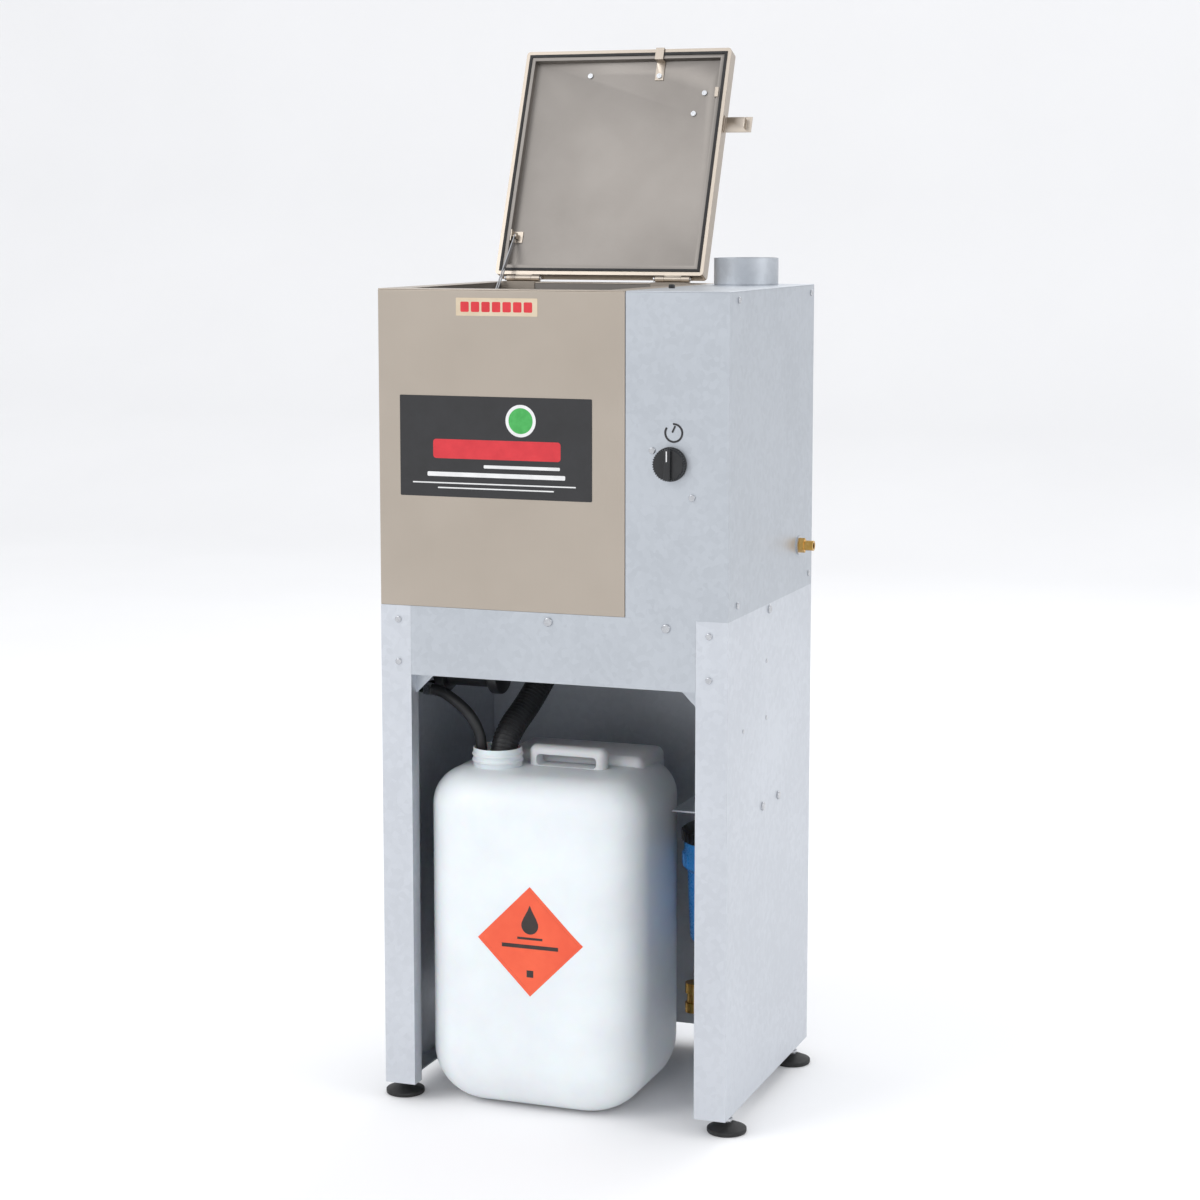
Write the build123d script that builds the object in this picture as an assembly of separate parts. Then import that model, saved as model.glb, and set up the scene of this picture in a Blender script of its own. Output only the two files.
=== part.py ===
from build123d import *
import math
import os

# Parts washer: a stainless wash tank with a hinged lid and a service bay, on a sheet-metal stand that
# shelters a liquid drum. Millimetres. X runs to the right, Y to the back and Z up. The origin is on the
# floor, at the middle of the four levelling feet.

# ---- driving dimensions -------------------------------------------------------------------------
WIDTH = 460.0            # cabinet and stand, side to side
DEPTH = 370.0            # cabinet and stand, front to back
FOOT_HEIGHT = 25.0       # floor to the underside of the stand
STAND_HEIGHT = 625.0     # stand alone
CABINET_HEIGHT = 398.0   # cabinet alone
SHEET = 1.5              # panels of the stand and cabinet
SEAT_GAP = 0.1           # gap between panels that are assembled edge to edge

# stand
LEG_FACE = 41.0          # width of each front leg
LEG_RETURN = 22.0        # depth of the leg's inner return
FLOOR_LIP = 25.0         # lip turned in under each side panel
TOP_FLANGE = 20.0        # flanges that carry the cabinet
BAR_HEIGHT = 88.0        # front crossbar
GUSSET = 26.0

# levelling feet
FOOT_X = 220.0           # feet, each side of the middle
FOOT_Y = 146.0
PAD_R = 25.0
PAD_H = 13.0
STUD_SUNK = 4.5          # stud's end inside the pad
STUD_R = 4.0
STUD_TOP = 48.0
NUT_FLATS = 13.0
NUT_H = 6.5
THREAD_GAP = 0.05        # running clearance of a stud in its nut

# fasteners
SCREW_R = 2.0
SCREW_HEAD_R = 4.2
SCREW_HEAD_H = 2.2
BOLT_R = 3.0
BOLT_HEAD_R = 5.6
BOLT_HEAD_H = 3.0
RIVET_R = 1.6
RIVET_HEAD_R = 2.8
RIVET_HEAD_H = 1.0
HOLE_GAP = 0.1
SMALL_SHANK_R = 1.5

# cabinet
TANK_WIDTH = 328.0       # stainless part of the cabinet; the service bay takes the rest
DECK_RIM_LEFT = 30.0     # deck left around the tank mouth
DECK_RIM_FRONT = 28.0
MOUTH_W = 268.0
MOUTH_D = 299.0
BASIN_SHEET = 1.2
BASIN_WALL_H = 258.0     # straight wall below the deck
BASIN_SUMP_H = 46.0      # sloped sump below the straight wall
SUMP_OUTLET = 46.0       # square at the bottom of the sump
DRAIN_R = 16.0
DRAIN_WALL = 1.5
DRAIN_X = -66.0
DRAIN_Y = 20.0
DRAIN_TAIL = 34.0        # spigot below the cabinet's base

# wash fittings
RACK_DROP = 222.0        # deck to the top of the parts rack
RACK_T = 2.0
RACK_GAP = 1.5
RACK_SLOTS = 9
RACK_SLOT_W = 14.0
LEDGE = 12.0
SPRAY_R = 6.0
SPRAY_DROP = 243.0
NOZZLES = 3
NOZZLE_H = 8.0

# exhaust, timer, air inlet
COLLAR_R = 42.0
COLLAR_WALL = 1.0
COLLAR_H = 35.0
COLLAR_INSET = 75.0  # cabinet's right side to the collar's axis
COLLAR_FROM_BACK = 61.0
COLLAR_FLANGE = 8.0
COLLAR_STEP = 1.0        # narrow root just above the panel
KNOB_X = 156.0
KNOB_DROP = 208.0        # deck to the timer's axis
KNOB_R = 21.0
KNOB_H = 16.0
KNOB_SKIRT_H = 4.0
GRIP_W = 9.0
SHAFT_R = 3.0
SHAFT_GAP = 0.05
TIMER_SIZE = 46.0
TIMER_DEPTH = 38.0
INLET_Y = 121.0
INLET_DROP = 339.0
INLET_R = 6.58           # quarter-inch pipe thread, outside
INLET_BORE_R = 4.0
INLET_LENGTH = 12.0
INLET_HEX = 17.0

# interlock button
BUTTON_R = 4.0
BUTTON_RISE = 5.0
BUTTON_Y = -64.0

# lid
LID_W = 298.0
LID_L = 329.0
LID_INSET = 15.0  # cabinet's left side to the lid
LID_OPEN = 112.0         # degrees open as it stands
LID_SHEET = 1.2
LID_DEEP = 20.0
LID_RIM = 14.0
LID_RECESS = 10.0
RIM_CLEAR = 3.5          # lid rim above the deck when shut
SEAL_W = 4.0
HINGE_Y = 162.0
HINGE_RISE = 5.0         # pin above the deck
BARREL_R = 4.0
PIN_R = 2.0
PIN_GAP = 0.05
HINGE_W = 48.0
HINGE_INSET = 18.0
KNUCKLE_GAP = 0.3
LEAF_T = 1.2
LEAF_DROP = 28.0
STAY_W = 7.0
STAY_T = 1.5
STAY_ARM = 62.0          # hinge pin to the stay's pivot
STAY_LENGTH = 165.0
STAY_REACH = 150.0       # pivot to the guide stud in the tank, lid open
STAY_LEAN = 43.8         # degrees forward of straight down, lid open
PIVOT_R = 2.5

# drum
DRUM_INSET = 46.0  # stand's left side to the drum
DRUM_PROUD = 7.0  # drum's face ahead of the stand
DRUM_W = 290.0
DRUM_D = 252.0
DRUM_H = 436.0
DRUM_R = 64.0
DRUM_TOP_R = 42.0
DRUM_BASE_R = 56.0
DRUM_WALL = 3.0
NECK_ACROSS = 79.0  # drum's left side to the neck's axis
NECK_BEHIND = 89.0  # drum's face to the neck's axis
NECK_R = 33.0
NECK_WALL = 3.0
NECK_H = 24.0
HANDLE_L = 104.0
HANDLE_W = 24.0
HANDLE_H = 26.0
HANDLE_BAR = 11.0
HANDLE_ACROSS = 168.0
HANDLE_BEHIND = 114.0

# pump and hoses
HOSE_R = 7.0             # small hose, outside
DRAIN_HOSE_R = 16.5      # corrugated drain hose, outside
PUMP_INSET = 78.0
PUMP_Y = -72.0
PUMP_R = 32.0
PUMP_L = 88.0
PUMP_DROP = 95.0         # cabinet base to the pump's axis
PORT_R = 5.2

# filter
FILTER_INSET = 62.0
FILTER_Y = 0.0
FILTER_CAP_R = 55.0
FILTER_CAP_H = 20.0
FILTER_RING_H = 34.0
FILTER_TOP_Z = 356.0
FILTER_BOSS_R = 30.0
PORT_REACH = 18.0
LINE_R = 5.0
BOWL_R = 48.0
BOWL_FOOT_R = 43.0
BOWL_L = 101.0
BOWL_WALL = 3.0
BRACKET_Z = 378.0
BRACKET_LEG = 30.0
BRACKET_REACH = 117.0
BRACKET_L = 84.0

# labels
LABEL_T = 0.4

# ---- derived places -----------------------------------------------------------------------------
LEFT, RIGHT = -WIDTH / 2, WIDTH / 2
FRONT, BACK = -DEPTH / 2, DEPTH / 2
SEAM = FOOT_HEIGHT + STAND_HEIGHT
DECK = SEAM + CABINET_HEIGHT
SPLIT = LEFT + TANK_WIDTH                      # joint between the tank's panel and the service bay
MOUTH_X0 = LEFT + DECK_RIM_LEFT
MOUTH_X1 = MOUTH_X0 + MOUTH_W
MOUTH_Y0 = FRONT + DECK_RIM_FRONT
MOUTH_Y1 = MOUTH_Y0 + MOUTH_D
LID_LEFT = LEFT + LID_INSET
LID_RIGHT = LID_LEFT + LID_W
BUTTON_X = SPLIT + 18.0
COLLAR_X = RIGHT - COLLAR_INSET
COLLAR_Y = BACK - COLLAR_FROM_BACK
LID_BACK = HINGE_Y - BARREL_R - 1.0
LID_FRONT = LID_BACK - LID_L
LID_LOW = DECK + RIM_CLEAR
LID_TOP = LID_LOW + LID_DEEP
HINGE_Z = DECK + HINGE_RISE
RACK_Z = DECK - RACK_DROP
DRUM_LEFT = LEFT + DRUM_INSET
DRUM_RIGHT = DRUM_LEFT + DRUM_W
DRUM_FRONT = FRONT - DRUM_PROUD
NECK_X = DRUM_LEFT + NECK_ACROSS
NECK_Y = DRUM_FRONT + NECK_BEHIND
HANDLE_X = DRUM_LEFT + HANDLE_ACROSS
HANDLE_Y = DRUM_FRONT + HANDLE_BEHIND
PUMP_X = LEFT + PUMP_INSET
FILTER_X = RIGHT - FILTER_INSET
BACKWARD, FORWARD = (0, 1, 0), (0, -1, 0)
UP, DOWN = (0, 0, 1), (0, 0, -1)

RISER_X = -130.0         # delivery line, up through the cabinet's base
RISER_Z = SEAM + 40.0
LINE_Y = FILTER_CAP_R + PORT_REACH + 12.0      # filter lines, in front of and behind the filter

STANDING = (Align.CENTER, Align.CENTER, Align.MIN)
NODES = {}


# ---- helpers ------------------------------------------------------------------------------------
def block(x0, x1, y0, y1, z0, z1):
    """A box between two corners."""
    return Pos(x0, y0, z0) * Box(x1 - x0, y1 - y0, z1 - z0, align=(Align.MIN,) * 3)


def rod(at, axis, radius, length):
    """A cylinder that starts at a point and runs along an axis."""
    return Plane(origin=at, z_dir=axis) * Cylinder(radius, length, align=STANDING)


def hex_bar(at, axis, flats, length):
    """A hexagonal bar, measured across its flats."""
    outline = RegularPolygon(flats / 2, 6, major_radius=False)
    return Plane(origin=at, z_dir=axis) * extrude(outline, length)


def moved(at, axis, distance):
    """The point that lies a distance along an axis from another."""
    return tuple(p + a * distance for p, a in zip(at, axis))


def headed(at, axis, head_r, head_h, shank_r, shank):
    """A fastener: a domed head standing along the axis, and a shank going the other way."""
    head = rod(at, axis, head_r, head_h)
    head = fillet(head.edges().filter_by(GeomType.CIRCLE).sort_by(lambda e: Vector(*axis).dot(e.center()))[-1],
                  head_h * 0.6)
    back = tuple(-a for a in axis)
    return head + rod(at, back, shank_r, shank)


def screw(at, axis, shank=2 * SHEET + 3.0):
    """A pan-head screw."""
    return headed(at, axis, SCREW_HEAD_R, SCREW_HEAD_H, SCREW_R, shank)


def bolt(at, axis, shank=2 * SHEET + 6.0):
    """A button-head bolt."""
    return headed(at, axis, BOLT_HEAD_R, BOLT_HEAD_H, BOLT_R, shank)


def rivet(at, axis, shank=SHEET + 1.5):
    """A blind rivet."""
    return headed(at, axis, RIVET_HEAD_R, RIVET_HEAD_H, RIVET_R, shank)


def drilled(part, places, radius, reach=30.0):
    """Clears a hole for every fastener's shank that passes through a part."""
    for at, axis in places:
        part -= rod(moved(at, axis, 1.0), tuple(-a for a in axis), radius + HOLE_GAP, reach)
    return part


def keep(name, *solids):
    """Files a node with its separate solids."""
    NODES[name] = [s for shape in solids for s in shape.solids()]


# ---- stand --------------------------------------------------------------------------------------
LEG_SCREWS = [((side * (RIGHT - 24.0), FRONT, SEAM - drop), FORWARD)
              for side in (-1, 1) for drop in (18.0, 72.0)]
SEAM_BOLTS = [((x, FRONT, SEAM - 11.0), FORWARD) for x in (LEFT + 227.0, LEFT + 381.0)]
SIDE_RIVETS = [((side * RIGHT, FRONT + y, z), (side, 0, 0)) for side in (-1, 1)
               for y, z in ((164.0, SEAM - 72.0), (164.0, SEAM - 145.0), (65.0, SEAM - 145.0))]
SIDE_BOLTS = [((side * RIGHT, FRONT + 173.0, SEAM - 7.0), (side, 0, 0)) for side in (-1, 1)]
BRACKET_SCREWS = [((RIGHT, FRONT + y, BRACKET_Z + BRACKET_LEG / 2), (1, 0, 0)) for y in (150.0, 219.5)]


def side_panel():
    """The right side of the stand: a tall sheet with a front leg, a return, a floor lip and top flanges."""
    low, high = FOOT_HEIGHT, SEAM
    leg_in = RIGHT - LEG_FACE
    panel = block(RIGHT - SHEET, RIGHT, FRONT, BACK, low, high)
    panel += block(leg_in, RIGHT, FRONT, FRONT + SHEET, low, high)
    panel += block(leg_in, leg_in + SHEET, FRONT, FRONT + LEG_RETURN, low, high - BAR_HEIGHT - SEAT_GAP)
    panel += block(RIGHT - FLOOR_LIP, RIGHT, FRONT, BACK, low, low + SHEET)
    panel += block(RIGHT - TOP_FLANGE, RIGHT, FRONT + LEG_RETURN, BACK, high - SHEET, high)
    panel += block(RIGHT - TOP_FLANGE, RIGHT, BACK - SHEET, BACK, low, high)
    panel -= rod((FOOT_X, -FOOT_Y, low - 1), UP, STUD_R + 0.5, 2 * SHEET)
    panel -= rod((FOOT_X, FOOT_Y, low - 1), UP, STUD_R + 0.5, 2 * SHEET)
    panel = drilled(panel, LEG_SCREWS, SCREW_R, reach=6.0)
    panel = drilled(panel, SIDE_RIVETS, RIVET_R, reach=6.0)
    return drilled(panel, SIDE_BOLTS + BRACKET_SCREWS, BOLT_R, reach=6.0)


def build_stand():
    """Side panels, crossbar, back panel, corner gussets and their fasteners."""
    right = side_panel()
    plain = right + block(RIGHT - SHEET, RIGHT, FRONT + 140.0, FRONT + 230.0,
                          BRACKET_Z + 2.0, BRACKET_Z + BRACKET_LEG)
    keep("stand_side_right", right)
    keep("stand_side_left", mirror(plain, Plane.YZ))
    bar_end = RIGHT - LEG_FACE - SEAT_GAP
    bar = block(-bar_end, bar_end, FRONT, FRONT + SHEET, SEAM - BAR_HEIGHT, SEAM)
    bar += block(-bar_end, bar_end, FRONT, FRONT + TOP_FLANGE, SEAM - SHEET, SEAM)
    bar += block(-bar_end, bar_end, FRONT, FRONT + TOP_FLANGE, SEAM - BAR_HEIGHT, SEAM - BAR_HEIGHT + SHEET)
    for side in (-1, 1):
        tab_in = side * (bar_end - 4.0)
        tab_out = side * (RIGHT - SHEET - 1.0)
        bar += block(min(tab_in, tab_out), max(tab_in, tab_out), FRONT + SHEET, FRONT + 2 * SHEET,
                     SEAM - BAR_HEIGHT, SEAM - SHEET)
    bar = drilled(bar, LEG_SCREWS, SCREW_R)
    bar = drilled(bar, SEAM_BOLTS, BOLT_R, reach=6.0)
    inner = RIGHT - SHEET - SEAT_GAP
    back = block(-inner, inner, BACK - 2 * SHEET, BACK - SHEET, FOOT_HEIGHT + SHEET, SEAM - SHEET)
    keep("stand_back_panel", back)
    corner = RIGHT - LEG_FACE
    gussets = []
    for side in (-1, 1):
        outline = Polyline((side * corner, SEAM - BAR_HEIGHT), (side * (corner - GUSSET), SEAM - BAR_HEIGHT),
                           (side * corner, SEAM - BAR_HEIGHT - GUSSET), close=True)
        face = Plane(origin=(0, FRONT + LEG_RETURN - 4.0, 0), x_dir=(1, 0, 0),
                     z_dir=FORWARD) * make_face(outline)
        gussets.append(extrude(face, SHEET))
    keep("stand_crossbar", bar, *gussets)
    keep("stand_screws", *[screw(*place) for place in LEG_SCREWS])
    keep("stand_rivets", *[rivet(*place) for place in SIDE_RIVETS])
    keep("stand_bolts", *[bolt(*place) for place in SEAM_BOLTS + SIDE_BOLTS + BRACKET_SCREWS])


def build_feet():
    """Four pads on threaded studs, each held in a weld nut above the floor lip."""
    nuts = []
    for name, x, y in (("front_left", -FOOT_X, -FOOT_Y), ("front_right", FOOT_X, -FOOT_Y),
                       ("back_left", -FOOT_X, FOOT_Y), ("back_right", FOOT_X, FOOT_Y)):
        pad = rod((x, y, 0), UP, PAD_R, PAD_H)
        pad = fillet(pad.edges().filter_by(GeomType.CIRCLE).sort_by(Axis.Z)[-1], PAD_H * 0.45)
        pad -= rod((x, y, PAD_H - STUD_SUNK), UP, STUD_R, 10.0)
        stud = rod((x, y, PAD_H - STUD_SUNK), UP, STUD_R, STUD_TOP - PAD_H + STUD_SUNK)
        stud = chamfer(stud.edges().filter_by(GeomType.CIRCLE).sort_by(Axis.Z)[-1], 0.8)
        lock_nut = hex_bar((x, y, FOOT_HEIGHT - NUT_H), UP, NUT_FLATS, NUT_H)
        keep("foot_" + name, pad, stud + lock_nut)
        weld_nut = hex_bar((x, y, FOOT_HEIGHT + SHEET), UP, NUT_FLATS, NUT_H)
        weld_nut -= rod((x, y, FOOT_HEIGHT), UP, STUD_R + THREAD_GAP, NUT_H + 4.0)
        nuts.append(weld_nut)
    keep("foot_weld_nuts", *nuts)


# ---- cabinet ------------------------------------------------------------------------------------
COVER_SCREWS = [((RIGHT, FRONT + y, DECK - 11.0), (1, 0, 0)) for y in (36.0, 355.0)]
COVER_SCREWS += [((RIGHT, FRONT + y, SEAM + 16.0), (1, 0, 0)) for y in (36.0, 355.0)]
TIMER_SCREWS = [((KNOB_X + dx, FRONT, DECK - KNOB_DROP + dz), FORWARD)
                for dx, dz in ((-23.3, 16.0), (27.5, -40.0))]
BACK_SCREWS = [((x, BACK, z), BACKWARD)
               for x in (LEFT + 20.0, 0.0, RIGHT - 20.0) for z in (SEAM + 20.0, DECK - 20.0)]


def build_cabinet():
    """Stainless tank panels, galvanised service covers, base, divider and their screws."""
    base_top = SEAM + SHEET
    inner = SHEET + SEAT_GAP
    keep("tank_front_panel",
         block(LEFT, SPLIT - 0.6, FRONT, FRONT + SHEET, SEAM, DECK - SHEET)
         + block(LEFT + 2 * SHEET, SPLIT - 2 * SHEET, FRONT, FRONT + 12.0, DECK - 2 * SHEET, DECK - SHEET))
    keep("tank_side_panel", block(LEFT, LEFT + SHEET, FRONT + inner, BACK - inner, SEAM, DECK - SHEET))
    deck = block(LEFT, SPLIT - 0.6, FRONT, BACK, DECK - SHEET, DECK)
    deck -= block(MOUTH_X0, MOUTH_X1, MOUTH_Y0, MOUTH_Y1, DECK - 5, DECK + 5)
    keep("tank_deck", deck)
    front = block(SPLIT + 0.6, RIGHT, FRONT, FRONT + SHEET, SEAM, DECK - SHEET)
    front -= rod((KNOB_X, FRONT - 1, DECK - KNOB_DROP), BACKWARD, SHAFT_R + 2.0, SHEET + 2)
    keep("service_front_panel", drilled(front, TIMER_SCREWS, SCREW_R, reach=6.0))
    top = block(SPLIT + 0.6, RIGHT, FRONT, BACK, DECK - SHEET, DECK)
    top -= rod((COLLAR_X, COLLAR_Y, DECK - 5), UP, COLLAR_R + HOLE_GAP, 10.0)
    top -= rod((BUTTON_X, BUTTON_Y, DECK - 5), UP, BUTTON_R + SHAFT_GAP, 10.0)
    keep("service_top_panel", top)
    side = block(RIGHT - SHEET, RIGHT, FRONT + inner, BACK - 8.0, SEAM, DECK - SHEET - SEAT_GAP)
    side -= rod((RIGHT - 4, INLET_Y, DECK - INLET_DROP), (1, 0, 0), INLET_R + HOLE_GAP, 8.0)
    keep("service_side_panel", drilled(side, COVER_SCREWS, SCREW_R, reach=6.0))
    back = block(LEFT, RIGHT, BACK - SHEET, BACK, SEAM, DECK - SHEET)
    back += block(RIGHT - SHEET, RIGHT, BACK - 8.0 + SEAT_GAP, BACK, SEAM, DECK - SHEET)
    for x in range(5):
        back -= block(SPLIT + 30.0, SPLIT + 100.0, BACK - 5, BACK + 5,
                      SEAM + 90.0 + 16.0 * x, SEAM + 94.0 + 16.0 * x)
    keep("cabinet_back_panel", drilled(back, BACK_SCREWS, SCREW_R, reach=6.0))
    base = block(LEFT + inner, RIGHT - inner, FRONT + inner, BACK - inner, SEAM, base_top)
    base -= rod((DRAIN_X, DRAIN_Y, SEAM - 5), UP, DRAIN_R + 3.0, 10.0)
    base -= rod((RISER_X, PUMP_Y, SEAM - 5), UP, LINE_R + 1.0, 10.0)
    for side in (-1, 1):
        base -= rod((FILTER_X, side * LINE_Y, SEAM - 5), UP, LINE_R + HOLE_GAP, 10.0)
    keep("cabinet_base", base)
    divider = block(SPLIT - SHEET / 2, SPLIT + SHEET / 2, FRONT + inner, BACK - inner,
                    base_top, DECK - SHEET - SEAT_GAP)
    divider -= rod((SPLIT - 5, 0, DECK - SPRAY_DROP), (1, 0, 0), SPRAY_R + 0.5, 10.0)
    divider -= rod((SPLIT - 5, PUMP_Y, RISER_Z), (1, 0, 0), LINE_R + 1.0, 10.0)
    keep("divider_panel", divider)
    places = COVER_SCREWS + TIMER_SCREWS + BACK_SCREWS
    keep("cabinet_screws", *[screw(at, axis, SHEET + 4.0) for at, axis in places])
    collar = rod((COLLAR_X, COLLAR_Y, DECK + COLLAR_STEP), UP, COLLAR_R, COLLAR_H - COLLAR_STEP)
    collar += rod((COLLAR_X, COLLAR_Y, DECK - SHEET - 6.0), UP, COLLAR_R - COLLAR_WALL / 2,
                  SHEET + 6.0 + COLLAR_STEP)
    collar += rod((COLLAR_X, COLLAR_Y, DECK - SHEET - 1.0), UP, COLLAR_R + COLLAR_FLANGE, 1.0)
    collar -= rod((COLLAR_X, COLLAR_Y, DECK - 20.0), UP, COLLAR_R - COLLAR_WALL, 80.0)
    keep("exhaust_collar", collar)


def basin_core(grow, bottom):
    """The basin's inside, grown by a wall: a straight well over a sump that narrows to the drain."""
    x0, x1 = MOUTH_X0 - grow, MOUTH_X1 + grow
    y0, y1 = MOUTH_Y0 - grow, MOUTH_Y1 + grow
    wall_low = DECK - SHEET - BASIN_WALL_H
    well = block(x0, x1, y0, y1, wall_low, DECK - SHEET)
    wide = Pos((x0 + x1) / 2, (y0 + y1) / 2, wall_low) * Rectangle(x1 - x0, y1 - y0)
    side = SUMP_OUTLET + 2 * grow
    narrow = Pos(DRAIN_X, DRAIN_Y, bottom) * Rectangle(side, side)
    return well + loft([wide, narrow])


def build_basin():
    """Wash basin, drain spigot, strainer, parts rack and spray bar."""
    sump_low = DECK - SHEET - BASIN_WALL_H - BASIN_SUMP_H
    basin = basin_core(BASIN_SHEET, sump_low)
    core = basin_core(0.0, sump_low)
    floor = block(DRAIN_X - 40, DRAIN_X + 40, DRAIN_Y - 40, DRAIN_Y + 40,
                  sump_low - 5, sump_low + BASIN_SHEET)
    basin -= core - floor
    drain_in = rod((DRAIN_X, DRAIN_Y, sump_low - 10), UP, DRAIN_R - DRAIN_WALL, 30.0)
    basin -= drain_in
    basin -= rod((MOUTH_X1 - 5, 0, DECK - SPRAY_DROP), (1, 0, 0), SPRAY_R + SHAFT_GAP, 10.0)
    for side in (-1, 1):
        x = (MOUTH_X0 if side < 0 else MOUTH_X1 - LEDGE)
        basin += block(x, x + LEDGE, MOUTH_Y0, MOUTH_Y1, RACK_Z - RACK_T - BASIN_SHEET, RACK_Z - RACK_T)
    lean = math.radians(STAY_LEAN)
    py, pz = stay_pivot()
    basin += rod((MOUTH_X0 - BASIN_SHEET, py - STAY_REACH * math.sin(lean), pz - STAY_REACH * math.cos(lean)),
                 (1, 0, 0), 4.0, STAY_X - MOUTH_X0 + BASIN_SHEET - 0.5)
    keep("wash_basin", basin)
    spigot = rod((DRAIN_X, DRAIN_Y, SEAM - DRAIN_TAIL), UP, DRAIN_R, sump_low - SEAM + DRAIN_TAIL)
    spigot -= rod((DRAIN_X, DRAIN_Y, SEAM - DRAIN_TAIL - 1), UP, DRAIN_R - DRAIN_WALL, 400.0)
    strainer = rod((DRAIN_X, DRAIN_Y, sump_low + BASIN_SHEET), UP, DRAIN_R + 4.0, 1.2)
    for turn in range(6):
        angle = math.radians(60 * turn)
        hole = (DRAIN_X + 9 * math.cos(angle), DRAIN_Y + 9 * math.sin(angle), sump_low)
        strainer -= rod(hole, UP, 2.2, 8.0)
    keep("drain_spigot", spigot, strainer)
    rack = block(MOUTH_X0 + RACK_GAP, MOUTH_X1 - RACK_GAP, MOUTH_Y0 + RACK_GAP, MOUTH_Y1 - RACK_GAP,
                 RACK_Z - RACK_T, RACK_Z)
    pitch = (MOUTH_W - 40.0) / RACK_SLOTS
    for row in range(3):
        for column in range(RACK_SLOTS):
            x = MOUTH_X0 + 20.0 + pitch * (column + 0.5)
            y = MOUTH_Y0 + MOUTH_D * (row + 0.5) / 3
            rack -= Pos(x, y, RACK_Z) * Box(RACK_SLOT_W, MOUTH_D / 3 - 16.0, 3 * RACK_T)
    keep("parts_rack", rack)
    spray_z = DECK - SPRAY_DROP
    bar = rod((MOUTH_X0 + 40.0, 0, spray_z), (1, 0, 0), SPRAY_R, SPLIT + 24.0 - MOUTH_X0 - 40.0)
    nozzles = []
    for number in range(NOZZLES):
        x = MOUTH_X0 + MOUTH_W * (number + 1) / (NOZZLES + 1)
        nozzle = rod((x, 0, spray_z + SPRAY_R - 1.0), UP, 4.5, NOZZLE_H)
        nozzle = chamfer(nozzle.edges().filter_by(GeomType.CIRCLE).sort_by(Axis.Z)[-1], 2.0)
        nozzle -= rod((x, 0, spray_z), UP, 1.2, 30.0)
        bar -= rod((x, 0, spray_z + SPRAY_R - 1.0), UP, 4.5, 10.0)
        nozzles.append(nozzle)
    keep("spray_bar", bar, *nozzles)


# ---- service bay --------------------------------------------------------------------------------


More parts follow.
